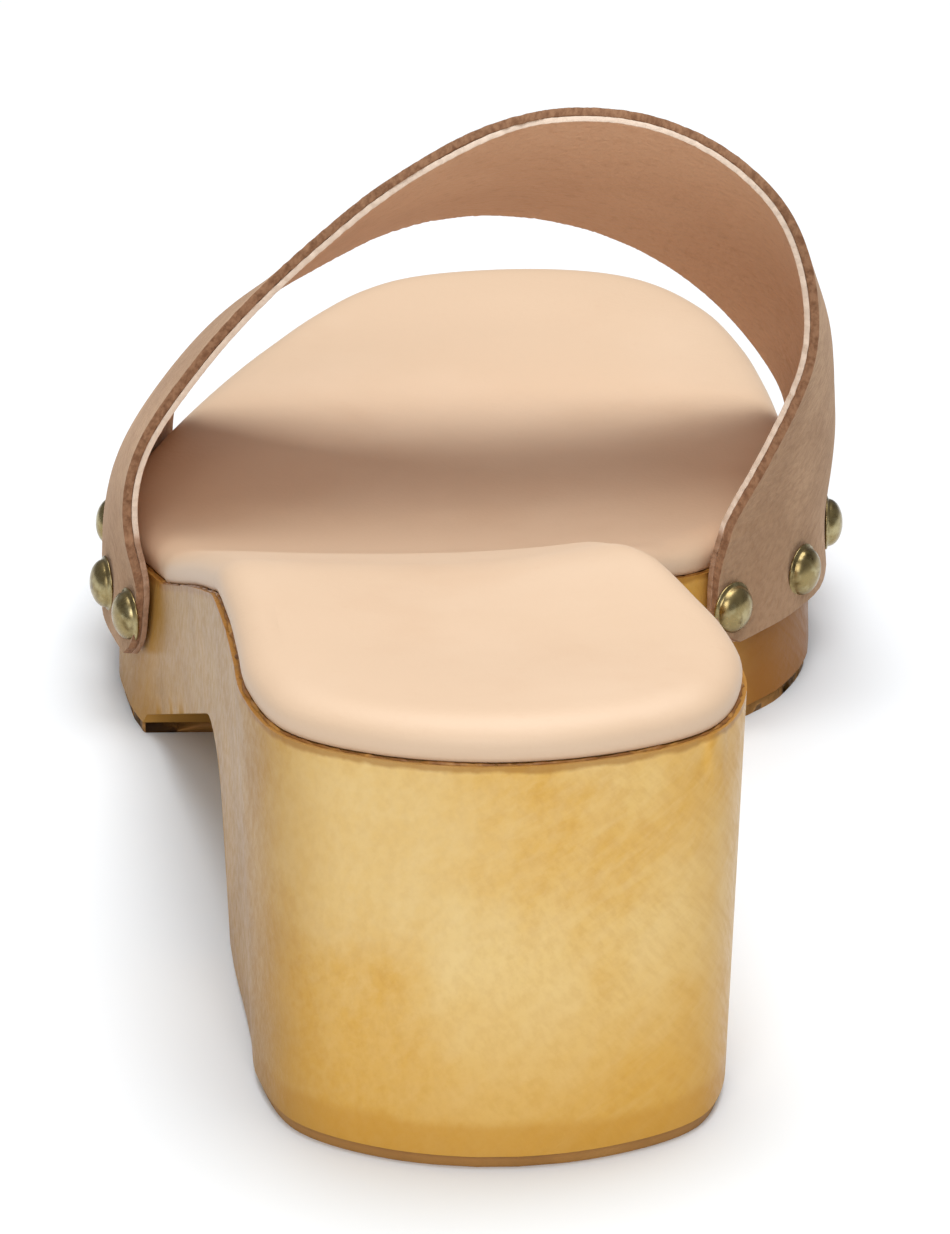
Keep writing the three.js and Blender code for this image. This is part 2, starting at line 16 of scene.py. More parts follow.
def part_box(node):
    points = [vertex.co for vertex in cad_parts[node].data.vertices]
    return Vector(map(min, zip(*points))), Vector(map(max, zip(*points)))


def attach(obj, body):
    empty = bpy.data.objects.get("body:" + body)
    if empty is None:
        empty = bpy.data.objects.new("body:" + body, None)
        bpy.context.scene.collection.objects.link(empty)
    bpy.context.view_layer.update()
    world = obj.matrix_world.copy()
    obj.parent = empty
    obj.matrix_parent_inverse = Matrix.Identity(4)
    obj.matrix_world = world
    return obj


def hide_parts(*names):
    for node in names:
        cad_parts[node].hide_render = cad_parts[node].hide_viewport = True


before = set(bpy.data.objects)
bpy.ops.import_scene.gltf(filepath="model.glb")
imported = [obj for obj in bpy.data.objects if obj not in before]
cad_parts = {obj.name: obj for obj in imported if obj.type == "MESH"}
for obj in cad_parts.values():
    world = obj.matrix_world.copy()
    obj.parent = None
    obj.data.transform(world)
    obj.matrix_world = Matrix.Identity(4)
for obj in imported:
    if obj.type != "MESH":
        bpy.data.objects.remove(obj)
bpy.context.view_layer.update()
MM = 0.001

# %% [markdown]
# Everything on the shoe follows one outline: the top edge of the wood, seen from above. The CAD
# source holds it as a short table, and so does this file, because the finer pieces have to lie on
# the same lines. Each row gives the place along the sole, the inner and outer edge as shares of
# half the ball's width, and how far the foot of the wall stands outside that edge.

# %% The outline's table
SOLE_LENGTH = 249.0
BALL_HALF_WIDTH = 50.0
OUTLINE_ROWS = [
    (0, 0.02, 0.02, -0.024, -0.024), (0.012, 0.33, -0.28, -0.028, -0.024),
    (0.044, 0.575, -0.51, -0.036, -0.024), (0.097, 0.662, -0.612, -0.042, -0.027),
    (0.145, 0.632, -0.638, -0.042, -0.034), (0.185, 0.565, -0.658, -0.04, -0.033),
    (0.225, 0.495, -0.685, -0.04, -0.037), (0.268, 0.42, -0.711, -0.04, -0.044),
    (0.362, 0.385, -0.768, -0.02, -0.03), (0.442, 0.42, -0.816, 0, -0.01),
    (0.482, 0.47, -0.84, 0.01, 0.005), (0.522, 0.54, -0.858, 0.015, 0.02),
    (0.546, 0.595, -0.868, 0.03, 0.035), (0.56, 0.65, -0.875, 0.06, 0.065),
    (0.578, 0.73, -0.903, 0.095, 0.062), (0.598, 0.82, -0.941, 0.095, 0.041),
    (0.622, 0.912, -0.974, 0.065, 0.027), (0.645, 0.972, -0.986, 0.038, 0.019),
    (0.663, 0.998, -0.992, 0.02, 0.013), (0.703, 1.018, -0.973, 0.008, 0.01),
    (0.773, 0.985, -0.872, 0.005, 0.005), (0.838, 0.95, -0.742, 0, 0),
    (0.89, 0.9, -0.61, 0, 0), (0.938, 0.815, -0.462, 0, 0),
    (0.972, 0.685, -0.305, 0, 0), (0.991, 0.53, -0.13, 0, 0),
    (1, 0.25, 0.25, 0, 0),
]
print("outline rows:", len(OUTLINE_ROWS))

# %% [markdown]
# Two kinds of smooth line run through the tables. A value that changes along the sole must not
# overshoot its rows, so it uses slopes that are flat at every peak. A line through points in space
# uses a Catmull-Rom curve with centripetal spacing, which keeps its loops round. Blender could
# draw both as curve objects, but plain functions can be asked for any number of points.

# %% Smooth lines through tables and points
def table_value(keys, values):
    """A function that gives the smooth value at any key between the rows."""
    keys, values = np.array(keys, float), np.array(values, float)
    steps = np.diff(keys)
    slopes = np.diff(values) / steps
    tangents = np.zeros(len(keys))
    tangents[0], tangents[-1] = slopes[0], slopes[-1]
    before, after = slopes[:-1], slopes[1:]
    same = before * after > 0
    total = np.where(same, before + after, 1.0)
    tangents[1:-1] = np.where(same, 2 * before * after / total, 0.0)

    def value(at):
        at = np.clip(at, keys[0], keys[-1])
        i = np.clip(np.searchsorted(keys, at, side="right") - 1, 0, len(steps) - 1)
        t = (at - keys[i]) / steps[i]
        t2, t3 = t * t, t * t * t
        return (values[i] * (2 * t3 - 3 * t2 + 1) + tangents[i] * steps[i] * (t3 - 2 * t2 + t)
                + values[i + 1] * (3 * t2 - 2 * t3) + tangents[i + 1] * steps[i] * (t3 - t2))
    return value


def curve_points(points, at, closed=False):
    """Points of a centripetal Catmull-Rom curve. A whole number of at is one of the points."""
    points = np.array(points, float)
    count = len(points)
    if closed:
        row = np.vstack([points[-1:], points, points[:2]])
    else:
        row = np.vstack([2 * points[:1] - points[1:2], points, 2 * points[-1:] - points[-2:-1]])
    at = np.asarray(at, float)
    i = np.clip(np.floor(at).astype(int), 0, count - (1 if closed else 2))
    t = (at - i)[:, None]
    p0, p1, p2, p3 = row[i], row[i + 1], row[i + 2], row[i + 3]

    def gap(a, b):
        return np.maximum(np.linalg.norm(b - a, axis=1), 1e-9)[:, None] ** 0.5
    d0, d1, d2 = gap(p0, p1), gap(p1, p2), gap(p2, p3)
    t1 = ((p1 - p0) / d0 - (p2 - p0) / (d0 + d1) + (p2 - p1) / d1) * d1
    t2 = ((p2 - p1) / d1 - (p3 - p1) / (d1 + d2) + (p3 - p2) / d2) * d1
    return (p1 + t1 * t + (-3 * p1 + 3 * p2 - 2 * t1 - t2) * t ** 2
            + (2 * p1 - 2 * p2 + t1 + t2) * t ** 3)


print("halfway between two rows of 0 and 1:", float(table_value((0, 1), (0, 1))(0.5)))

# %% [markdown]
# The outline is one closed loop, but most pieces ask for its inner or its outer side. So the loop
# is cut at the heel and at the toe into two chains of many points, each with the direction that
# points away from the foot, and a place on a chain is then found by its distance from the heel.

# %% The two edges of the sole
OUTLINE_SAMPLES = 3000
columns = list(zip(*OUTLINE_ROWS))
medial_foot = table_value(columns[0], columns[3])
lateral_foot = table_value(columns[0], columns[4])
medial_share = table_value(columns[0], columns[1])
lateral_share = table_value(columns[0], columns[2])


def outline_edges():
    """Both edges as dense chains from the heel to the toe: x, y and the normal outwards."""
    inner = [(m * BALL_HALF_WIDTH, a * SOLE_LENGTH) for a, m, _, _, _ in OUTLINE_ROWS]
    outer = [(o * BALL_HALF_WIDTH, a * SOLE_LENGTH) for a, _, o, _, _ in OUTLINE_ROWS[1:-1]]
    corners = inner + outer[::-1]
    at = np.linspace(0, len(corners), OUTLINE_SAMPLES, endpoint=False)
    loop = curve_points(corners, at, closed=True)
    loop = np.roll(loop, -int(np.argmin(loop[:, 1])), axis=0)
    high = int(np.argmax(loop[:, 1]))
    chains = {"medial": loop[: high + 1], "lateral": np.vstack([loop[:1], loop[high:][::-1]])}
    edges = {}
    for side, chain in chains.items():
        run = np.gradient(chain, axis=0)
        run /= np.linalg.norm(run, axis=1)[:, None]
        turn = 1 if side == "medial" else -1
        length = np.r_[0, np.cumsum(np.linalg.norm(np.diff(chain, axis=0), axis=1))]
        edges[side] = {"x": chain[:, 0], "y": chain[:, 1], "nx": run[:, 1] * turn,
                       "ny": -run[:, 0] * turn, "length": length}
    return edges


EDGES = outline_edges()


def rim(side, y):
    """The edge's x, and its normal outwards, at distances y from the heel."""
    e = EDGES[side]
    return np.interp(y, e["y"], e["x"]), np.interp(y, e["y"], e["nx"]), np.interp(y, e["y"], e["ny"])


print("length of the inner edge:", round(EDGES["medial"]["length"][-1], 1), "mm")

# %% [markdown]
# The wood's top is the foot's bed: high and level under the heel, sloping down through the waist,
# level again under the ball and lifted a little at the toe. It is dished across, so the edges
# stand a little higher than the middle. The wall below the edge is straight from top to foot.

# %% The height of the wood's top and the lean of its walls
HEEL_HEIGHT, BALL_HEIGHT = 55.8, 22.0
TOE_LIFT, TOE_SPRING, TOE_FROM = 4.2, 7.0, 0.77
HUMP_RISE, HUMP_AT, HUMP_REACH = 2.4, 0.27, 0.13
DISH, DISH_ENDS = 1.5, 0.14
SEAT_ROWS = [(0, 1.01), (0.12, 0.99), (0.19, 0.98), (0.225, 0.97), (0.245, 0.945), (0.275, 0.865),
             (0.315, 0.755), (0.355, 0.64), (0.395, 0.52), (0.435, 0.398), (0.475, 0.278),
             (0.515, 0.158), (0.545, 0.07), (0.57, 0.02), (0.62, 0), (1, 0)]
seat_share = table_value(*zip(*SEAT_ROWS))


def toe_share(along):
    """The share of the toe's rise: none up to TOE_FROM, then more and more."""
    return np.maximum((along - TOE_FROM) / (1 - TOE_FROM), 0) ** 2


def seat_height(x, y):
    """The height of the wood's top, with its hump under the arch, its dish and its toe."""
    along = y / SOLE_LENGTH
    wide = np.clip(along, 0.1, 0.88)
    inner = medial_share(wide) * BALL_HALF_WIDTH
    outer = lateral_share(wide) * BALL_HALF_WIDTH
    side = np.clip((x - (inner + outer) / 2) / ((inner - outer) / 2), -1.2, 1.2)
    base = BALL_HEIGHT + (HEEL_HEIGHT - BALL_HEIGHT) * seat_share(along)
    hump = HUMP_RISE * np.exp(-(((along - HUMP_AT) / HUMP_REACH) ** 2)) * np.maximum(side, 0) ** 2
    t = np.clip(np.minimum(along, 1 - along) / DISH_ENDS, 0, 1)
    dish = DISH * t * t * (3 - 2 * t) * (side * side - 1)
    return base + hump + TOE_LIFT * toe_share(along) + dish


def spring_height(y):
    """How far the toe springs up from the floor."""
    return TOE_SPRING * toe_share(y / SOLE_LENGTH)


def wall_spread(x, y, nx, z):
    """How far the wall stands outside the top edge at a height."""
    along = np.clip(y / SOLE_LENGTH, 0, 1)
    inner, outer = medial_foot(along), lateral_foot(along)
    foot = (outer + (inner - outer) * (nx + 1) / 2) * BALL_HALF_WIDTH
    return foot * (1 - z / seat_height(x, y))


def edge_point(side, y, inset):
    """A point set in from the edge, across and along, in millimetres."""
    x, nx, ny = rim(side, y)
    inset = inset(x, y, nx) if callable(inset) else inset
    return x - nx * inset, y - ny * inset


def across_sole(y, share, inset):
    """Points between the two edges at distances y: share -1 is the outer edge and 1 the inner."""
    outer_x, outer_y = edge_point("lateral", y, inset)
    inner_x, inner_y = edge_point("medial", y, inset)
    t = (share + 1) / 2
    return outer_x + (inner_x - outer_x) * t, outer_y + (inner_y - outer_y) * t


pad_low, pad_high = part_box("insole")
PAD_INSET, PAD_BULGE, PAD_THICK, PAD_ROLL, SEAM = 1.0, 0.4, 5.0, 4.6, 0.3
origin_x = (pad_low.x + pad_high.x) / 2 / MM - (EDGES["medial"]["x"].max() + EDGES["lateral"]["x"].min()) / 2
origin_y = pad_low.y / MM - (PAD_INSET - PAD_BULGE)
ORIGIN = np.array([origin_x, origin_y, 0.0])
print("heel's back to the frame's origin, in millimetres:", ORIGIN.round(2))

# %% [markdown]
# A few helpers serve every piece. Each mesh starts as a flat grid from the create_grid operator,
# and a chart layer remembers where each vertex was on that grid. Extruding copies the layer, so
# after all the operators have run, each vertex can still be told where it belongs.

# %% Helpers for grids and objects
def charted_grid(across, along):
    """A new bmesh with a flat grid whose chart layer keeps each vertex's place from -1 to 1."""
    bm = bmesh.new()
    chart = bm.verts.layers.float_vector.new("chart")
    bm.verts.layers.float.new("level")
    bmesh.ops.create_grid(bm, x_segments=across, y_segments=along, size=1)
    for v in bm.verts:
        v[chart] = v.co
    return bm, chart


def charted(verts, chart):
    """The places of vertices on the flat grid."""
    return np.array([v[chart][:] for v in verts])


def move_to(verts, points):
    """Moves vertices to points in millimetres from the heel's back."""
    points = (points + ORIGIN) * MM
    for v, p in zip(verts, points):
        v.co = p


def new_verts(result):
    return [g for g in result["geom"] if isinstance(g, bmesh.types.BMVert)]


def new_edges(result):
    return [g for g in result["geom"] if isinstance(g, bmesh.types.BMEdge)]


def finished(name, bm, material, node=None):
    """Makes the object at the origin, smooth shaded, riding on the shoe's one body."""
    bmesh.ops.recalc_face_normals(bm, faces=bm.faces)
    for f in bm.faces:
        f.smooth = True
    mesh = bpy.data.meshes.new(name)
    bm.to_mesh(mesh)
    bm.free()
    piece = bpy.data.objects.new(name, mesh)
    bpy.context.scene.collection.objects.link(piece)
    mesh.materials.append(material)
    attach(piece, "root")
    if node:
        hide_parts(node)
    triangles = sum(len(p.vertices) - 2 for p in mesh.polygons)
    print(f"{name}: {len(mesh.vertices)} vertices, {triangles} triangles")
    return piece


def flat_first(piece):
    """Lets the large faces keep their own shading, so that only the bevels look round."""
    weighted = piece.modifiers.new("flat_first", "WEIGHTED_NORMAL")
    weighted.weight = 60


# %% [markdown]
# Finishes are made of nodes only, with no pictures. Placing and joining nodes by hand takes many
# lines, so a small class holds a tree and adds a node, a mix, a sum or a smooth step in one line.
# Colours are given as a screen shows them and turned into the linear values that shaders use.

# %% Helpers for materials
def tone(red, green, blue):
    """A colour that is read off a screen, as the linear values that Blender's sockets take."""
    def linear(c):
        c /= 255
        return c / 12.92 if c <= 0.04045 else ((c + 0.055) / 1.055) ** 2.4
    return (linear(red), linear(green), linear(blue), 1.0)


class Nodes:
    """A short way to place nodes in a tree and join their sockets."""

    def __init__(self, tree):
        self.tree = tree
        self.column = 0

    def add(self, kind, values=None, links=None, **settings):
        node = self.tree.nodes.new(kind)
        self.column += 1
        node.location = (self.column * 180 % 2400, -(self.column * 180 // 2400) * 300)
        for key, value in settings.items():
            setattr(node, key, value)
        for key, value in (values or {}).items():
            node.inputs[key].default_value = value
        for key, socket in (links or {}).items():
            self.tree.links.new(socket, node.inputs[key])
        return node

    def give(self, node, index, value):
        """Gives one input of a node a socket or a value."""
        if isinstance(value, bpy.types.NodeSocket):
            self.tree.links.new(value, node.inputs[index])
        else:
            node.inputs[index].default_value = value

    def mix(self, factor, a, b):
        """Mixes two colours. Each of the three is a socket or a value."""
        node = self.tree.nodes.new("ShaderNodeMix")
        node.data_type = "RGBA"
        for index, value in ((0, factor), (6, a), (7, b)):
            self.give(node, index, value)
        return node.outputs[2]

    def math(self, operation, a, b=0.0):
        """One sum of two sockets or values."""
        node = self.tree.nodes.new("ShaderNodeMath")
        node.operation = operation
        self.give(node, 0, a)
        self.give(node, 1, b)
        return node.outputs[0]

    def noise(self, place, scale, detail):
        """A cloudy value from 0 to 1."""
        node = self.add("ShaderNodeTexNoise", {"Scale": scale, "Detail": detail}, {"Vector": place})
        return node.outputs[0]

    def kept(self, attribute):
        """A value that the mesh keeps at each vertex."""
        return self.add("ShaderNodeAttribute", attribute_name=attribute).outputs["Fac"]

    def ramp(self, value, low, high, to_low=0.0, to_high=1.0):
        """A smooth step from low to high."""
        node = self.add("ShaderNodeMapRange", {"From Min": low, "From Max": high, "To Min": to_low,
                                               "To Max": to_high}, {"Value": value},
                        interpolation_type="SMOOTHSTEP")
        return node.outputs["Result"]


def new_group(name, inputs, outputs):
    """An empty node group with named inputs and outputs, and the helper that fills it."""
    tree = bpy.data.node_groups.new(name, "ShaderNodeTree")
    for label, kind, value in inputs:
        socket = tree.interface.new_socket(name=label, in_out="INPUT", socket_type=kind)
        if value is not None:
            socket.default_value = value
    for label, kind in outputs:
        tree.interface.new_socket(name=label, in_out="OUTPUT", socket_type=kind)
    nodes = Nodes(tree)
    return tree, nodes, nodes.add("NodeGroupInput"), nodes.add("NodeGroupOutput")


def new_material(name):
    """A material with its helper, its Principled shader and its Object coordinates."""
    material = bpy.data.materials.new(name)
    material.use_nodes = True
    nodes = Nodes(material.node_tree)
    shader = material.node_tree.nodes["Principled BSDF"]
    place = nodes.add("ShaderNodeTexCoord").outputs["Object"]
    return material, nodes, shader, place


def use_group(nodes, tree, values=None, links=None):
    """Places a node group in a material, with its own values."""
    node = nodes.add("ShaderNodeGroup", node_tree=tree)
    for key, value in (values or {}).items():
        node.inputs[key].default_value = value
    for key, socket in (links or {}).items():
        nodes.tree.links.new(socket, node.inputs[key])
    return node


def bumped(nodes, shader, height, strength, distance):
    """Leads a height through a bump node into the shader's normal."""
    bump = nodes.add("ShaderNodeBump", {"Strength": strength, "Distance": distance}, {"Height": height})
    nodes.tree.links.new(bump.outputs[0], shader.inputs["Normal"])


print("a middle grey on the screen, as a linear value:", round(tone(128, 128, 128)[0], 3))

# %% [markdown]
# Three effects are used by more than one finish, so each is a node group that is built once.
# Blotches lays two cloudy tones over a colour, as hide and lacquer have. Grain is a fine bump
# made of small cells with creases between them, as on leather. Streaks are long thin marks that
# lie along one direction, as sanding or brushing leaves.

# %% Node group: blotches
VECTOR, FLOAT, COLOUR = "NodeSocketVector", "NodeSocketFloat", "NodeSocketColor"
blotches, n, given, out = new_group(
    "Cloudy blotches",
    [("Vector", VECTOR, None), ("Colour", COLOUR, (0.5, 0.5, 0.5, 1)),
     ("Lighter", COLOUR, (0.8, 0.8, 0.8, 1)), ("Darker", COLOUR, (0.2, 0.2, 0.2, 1)),
     ("Scale", FLOAT, 30.0), ("Light amount", FLOAT, 0.5), ("Dark amount", FLOAT, 0.5)],
    [("Colour", COLOUR), ("Mask", FLOAT)])
cloud = n.add("ShaderNodeTexNoise", {"Detail": 4.0, "Roughness": 0.55},
              {"Vector": given.outputs["Vector"], "Scale": given.outputs["Scale"]})
shifted = n.add("ShaderNodeVectorMath", {1: (3.7, 1.3, 5.1)}, {0: given.outputs["Vector"]},
                operation="ADD")
cloud2 = n.add("ShaderNodeTexNoise", {"Detail": 5.0, "Roughness": 0.6},
               {"Vector": shifted.outputs[0], "Scale": given.outputs["Scale"]})
light_mask = n.math("MULTIPLY", n.ramp(cloud.outputs[0], 0.48, 0.7), given.outputs["Light amount"])
dark_mask = n.math("MULTIPLY", n.ramp(cloud2.outputs[0], 0.5, 0.75), given.outputs["Dark amount"])
lit = n.mix(light_mask, given.outputs["Colour"], given.outputs["Lighter"])
n.tree.links.new(n.mix(dark_mask, lit, given.outputs["Darker"]), out.inputs["Colour"])
n.tree.links.new(light_mask, out.inputs["Mask"])
print("group:", blotches.name)

# %% Node group: grain
grain, n, given, out = new_group(
    "Fine grain",
    [("Vector", VECTOR, None), ("Cells", FLOAT, 1500.0), ("Creases", FLOAT, 400.0),
     ("Fineness", FLOAT, 4000.0)],
    [("Height", FLOAT), ("Creases", FLOAT)])
cells = n.add("ShaderNodeTexVoronoi", {"Randomness": 0.9},
              {"Vector": given.outputs["Vector"], "Scale": given.outputs["Cells"]}, feature="SMOOTH_F1")
creases = n.add("ShaderNodeTexNoise", {"Detail": 3.0, "Roughness": 0.65},
                {"Vector": given.outputs["Vector"], "Scale": given.outputs["Creases"]})
fine = n.add("ShaderNodeTexNoise", {"Detail": 2.0},
             {"Vector": given.outputs["Vector"], "Scale": given.outputs["Fineness"]})
creased = n.math("ADD", n.math("MULTIPLY", creases.outputs[0], 0.6),
                 n.math("MULTIPLY", fine.outputs[0], 0.25))
height = n.math("ADD", n.math("MULTIPLY", cells.outputs["Distance"], 0.6), creased)
n.tree.links.new(height, out.inputs["Height"])
n.tree.links.new(creases.outputs[0], out.inputs["Creases"])
print("group:", grain.name)

# %% Node group: streaks
streaks, n, given, out = new_group(
    "Long streaks",
    [("Vector", VECTOR, None), ("Turn", VECTOR, (0.0, 0.0, 0.0)), ("Stretch", VECTOR, (1.0, 1.0, 0.05)),
     ("Scale", FLOAT, 900.0)],
    [("Height", FLOAT), ("Mask", FLOAT)])
turned = n.add("ShaderNodeMapping", None,
               {"Vector": given.outputs["Vector"], "Rotation": given.outputs["Turn"]}, vector_type="TEXTURE")
drawn_out = n.add("ShaderNodeVectorMath", None, {0: turned.outputs[0], 1: given.outputs["Stretch"]},
                  operation="MULTIPLY")
lines = n.add("ShaderNodeTexNoise", {"Detail": 4.0, "Roughness": 0.6},
              {"Vector": drawn_out.outputs[0], "Scale": given.outputs["Scale"]})
n.tree.links.new(lines.outputs[0], out.inputs["Height"])
n.tree.links.new(n.ramp(lines.outputs[0], 0.35, 0.7), out.inputs["Mask"])
print("group:", streaks.name)


def blotched(nodes, place, colour, lighter, darker, scale, light_amount=0.5, dark_amount=0.5):
    """A colour with cloudy lighter and darker tones."""
    values = {"Colour": colour, "Lighter": lighter, "Darker": darker, "Scale": scale,
              "Light amount": light_amount, "Dark amount": dark_amount}
    return use_group(nodes, blotches, values, {"Vector": place}).outputs["Colour"]


def grained(nodes, place, cells, creases, fineness):
    """The grain of hide or rubber, with the sizes of its three layers."""
    values = {"Cells": cells, "Creases": creases, "Fineness": fineness}
    return use_group(nodes, grain, values, {"Vector": place})


def streaked(nodes, place, turn, stretch, scale):
    """Long marks that lie along one direction."""
    return use_group(nodes, streaks, {"Turn": turn, "Stretch": stretch, "Scale": scale}, {"Vector": place})


# %% [markdown]
# The wood is pale and close grained, under honey lacquer. Sanding left fine marks that slant and
# cross, and the lacquer lies unevenly and is darker towards the foot. The side walls carry painted
# shade, deepest on the outer wall. The inner wall under the ball carries painted shade with a
# darker stain, and the back of the heel carries pale spots of painted highlight. Glue has stained
# the line where the insole starts. A painted picture could show all this, but noise in the object's
# own coordinates has no seams. What depends on the shape reads two values that the mesh keeps at
# each vertex: how far down the wall it is, and how far the wall there faces the inner or the outer
# side.

# %% Finish: lacquered wood
wood_finish, n, shader, place = new_material("lacquered_wood")
sanding = streaked(n, place, (0.55, -0.6, 0.2), (1.0, 1.0, 0.12), 900.0)
crossing = streaked(n, place, (-0.4, 1.05, 0.0), (1.0, 1.0, 0.16), 760.0)
figure = streaked(n, place, (-0.35, 0.42, 0.0), (1.0, 1.0, 0.1), 320.0)
colour = blotched(n, place, tone(218, 171, 86), tone(235, 207, 144), tone(206, 153, 64), 26.0, 0.6, 0.5)
for marks, amount, tint in ((sanding, 0.24, tone(184, 128, 54)), (crossing, 0.2, tone(236, 206, 146)),
                            (figure, 0.2, tone(232, 204, 150))):
    colour = n.mix(n.math("MULTIPLY", marks.outputs["Mask"], amount), colour, tint)

where = n.add("ShaderNodeSeparateXYZ", None, {"Vector": place})
waver = n.math("MULTIPLY", n.math("SUBTRACT", n.noise(place, 60.0, 2.0), 0.5), 0.003)
band_height = n.math("ADD", where.outputs["Z"], waver)
colour = n.mix(n.ramp(band_height, 0.034, 0.008, 0.0, 0.45), colour, tone(212, 160, 66))
colour = n.mix(n.ramp(band_height, 0.0072, 0.0052, 0.0, 0.6), colour, tone(200, 146, 58))

# Pale spots high on the heel's back: painted highlight. The same noise wavers their edges and the painted
# shade on the outer wall.
HEEL_HIGHLIGHT_SPOTS = [((-0.016, -0.122, 0.044), 0.026, 0.4), ((-0.002, -0.123, 0.026), 0.016, 0.12)]
painted_light_noise = n.noise(place, 90.0, 3.0)
for spot, reach, amount in HEEL_HIGHLIGHT_SPOTS:
    away = n.add("ShaderNodeVectorMath", {1: spot}, {0: place}, operation="DISTANCE").outputs["Value"]
    away = n.math("ADD", away, n.math("MULTIPLY", n.math("SUBTRACT", painted_light_noise, 0.5), 0.02))
    colour = n.mix(n.ramp(away, reach, reach * 0.3, 0.0, amount), colour, tone(232, 208, 154))

# Side walls darker by the way they face: painted shade on both, deepest on the outer wall.
side = n.kept("painted_shade_side")
outer_wall_shade = n.math("ADD", n.math("MULTIPLY", painted_light_noise, 0.5), 0.55)
colour = n.mix(n.math("MULTIPLY", n.ramp(side, -0.5, -0.98), outer_wall_shade), colour, tone(160, 116, 56))
colour = n.mix(n.ramp(side, 0.5, 1.0, 0.0, 0.45), colour, tone(190, 136, 58))
# The inner wall under the ball: painted shade with a darker stain.
inner_ball_shade_and_stain = n.math("MULTIPLY", n.ramp(where.outputs["X"], 0.031, 0.042),
                    n.ramp(where.outputs["Y"], 0.008, 0.02))
colour = n.mix(n.math("MULTIPLY", inner_ball_shade_and_stain, 0.85), colour, tone(142, 86, 28))

glue_waver = n.math("MULTIPLY", n.math("SUBTRACT", n.noise(place, 240.0, 4.0), 0.5), -0.0016)
from_seam = n.math("ADD", n.math("ABSOLUTE", n.kept("rim_drop")), glue_waver)
colour = n.mix(n.math("MULTIPLY", n.ramp(from_seam, 0.0011, 0.0004), 0.6), colour, tone(150, 98, 40))
n.tree.links.new(colour, shader.inputs["Base Color"])
shine = n.math("ADD", n.math("MULTIPLY", sanding.outputs["Mask"], 0.12), 0.3)
n.tree.links.new(shine, shader.inputs["Roughness"])
bumped(n, shader, n.math("ADD", sanding.outputs["Height"], crossing.outputs["Height"]), 0.2, 0.0004)
shader.inputs["Specular IOR Level"].default_value = 0.08
shader.inputs["Coat Weight"].default_value = 0.04
shader.inputs["Coat Roughness"].default_value = 0.3
print("finish:", wood_finish.name)

# %% [markdown]
# The insole's leather is smooth and powdery, in a peach beige that hardly varies. One soft
# blotching and a very shallow grain are enough: a stronger bump would look like plastic skin.

# %% Finish: insole leather
insole_finish, n, shader, place = new_material("insole_leather")
colour = blotched(n, place, tone(218, 188, 158), tone(224, 196, 168), tone(208, 173, 141), 22.0, 0.5, 0.4)
skin = grained(n, place, 1500.0, 420.0, 5200.0)
colour = n.mix(n.ramp(skin.outputs["Creases"], 0.6, 0.8, 0.0, 0.12), colour, tone(205, 165, 130))
n.tree.links.new(colour, shader.inputs["Base Color"])
bumped(n, shader, skin.outputs["Height"], 0.12, 0.0003)
shader.inputs["Roughness"].default_value = 0.52
print("finish:", insole_finish.name)

# %% [markdown]
# The lining is a thinner hide with a plain pebbled grain. Where it was cut, its edge shows the
# pale inside of the leather, and below the height of the tab's top, down by the nails, that edge is
# brown. The mesh keeps a value that tells the cut edge from the faces, so one material serves both.

# %% Finish: lining leather
lining_finish, n, shader, place = new_material("lining_leather")
colour = blotched(n, place, tone(203, 160, 126), tone(214, 173, 139), tone(188, 143, 109), 40.0)
pebble = grained(n, place, 1100.0, 500.0, 3000.0)
colour = n.mix(n.ramp(pebble.outputs["Creases"], 0.5, 0.75, 0.0, 0.3), colour, tone(170, 122, 88))
height = n.add("ShaderNodeSeparateXYZ", None, {"Vector": place}).outputs["Z"]
edge_colour = n.mix(n.ramp(height, 0.0285, 0.0297), tone(158, 122, 96), tone(220, 198, 178))
colour = n.mix(n.ramp(n.kept("cut"), 0.3, 0.7), colour, edge_colour)
n.tree.links.new(colour, shader.inputs["Base Color"])
bumped(n, shader, pebble.outputs["Height"], 0.6, 0.0005)
shader.inputs["Roughness"].default_value = 0.6
print("finish:", lining_finish.name)

# %% [markdown]
# Suede has no shine: its short nap scatters light, goes darker and lighter where a hand has
# brushed it, and glows a little at the edges. Hair would show the nap, but it is far too short
# here to be worth its cost. Blotches and soft streaks give the brushing, and a weak sheen the glow.

# %% Finish: suede
suede_finish, n, shader, place = new_material("suede")
colour = blotched(n, place, tone(166, 132, 102), tone(188, 154, 122), tone(140, 106, 79), 70.0, 0.6, 0.6)
nap = streaked(n, place, (0.4, 0.2, 0.0), (1.0, 0.35, 1.0), 1300.0)
colour = n.mix(n.math("MULTIPLY", nap.outputs["Mask"], 0.5), colour, tone(138, 104, 77))
edge_colour = n.mix(nap.outputs["Mask"], tone(152, 114, 86), tone(120, 84, 60))
colour = n.mix(n.ramp(n.kept("cut"), 0.3, 0.7), colour, edge_colour)
n.tree.links.new(colour, shader.inputs["Base Color"])
bumped(n, shader, nap.outputs["Height"], 0.6, 0.0005)
shader.inputs["Roughness"].default_value = 0.95
shader.inputs["Specular IOR Level"].default_value = 0.15
shader.inputs["Sheen Weight"].default_value = 0.35
shader.inputs["Sheen Roughness"].default_value = 0.5
shader.inputs["Sheen Tint"].default_value = tone(235, 205, 180)
print("finish:", suede_finish.name)

# %% [markdown]
# Three small finishes are left. The rubber is amber and dull. The glue is brown, blotched and a
# little shiny. The nails are antique brass: a metal whose colour is dark in places, with a
# roughness that wanders, so that the highlights break up as on a worn dome.

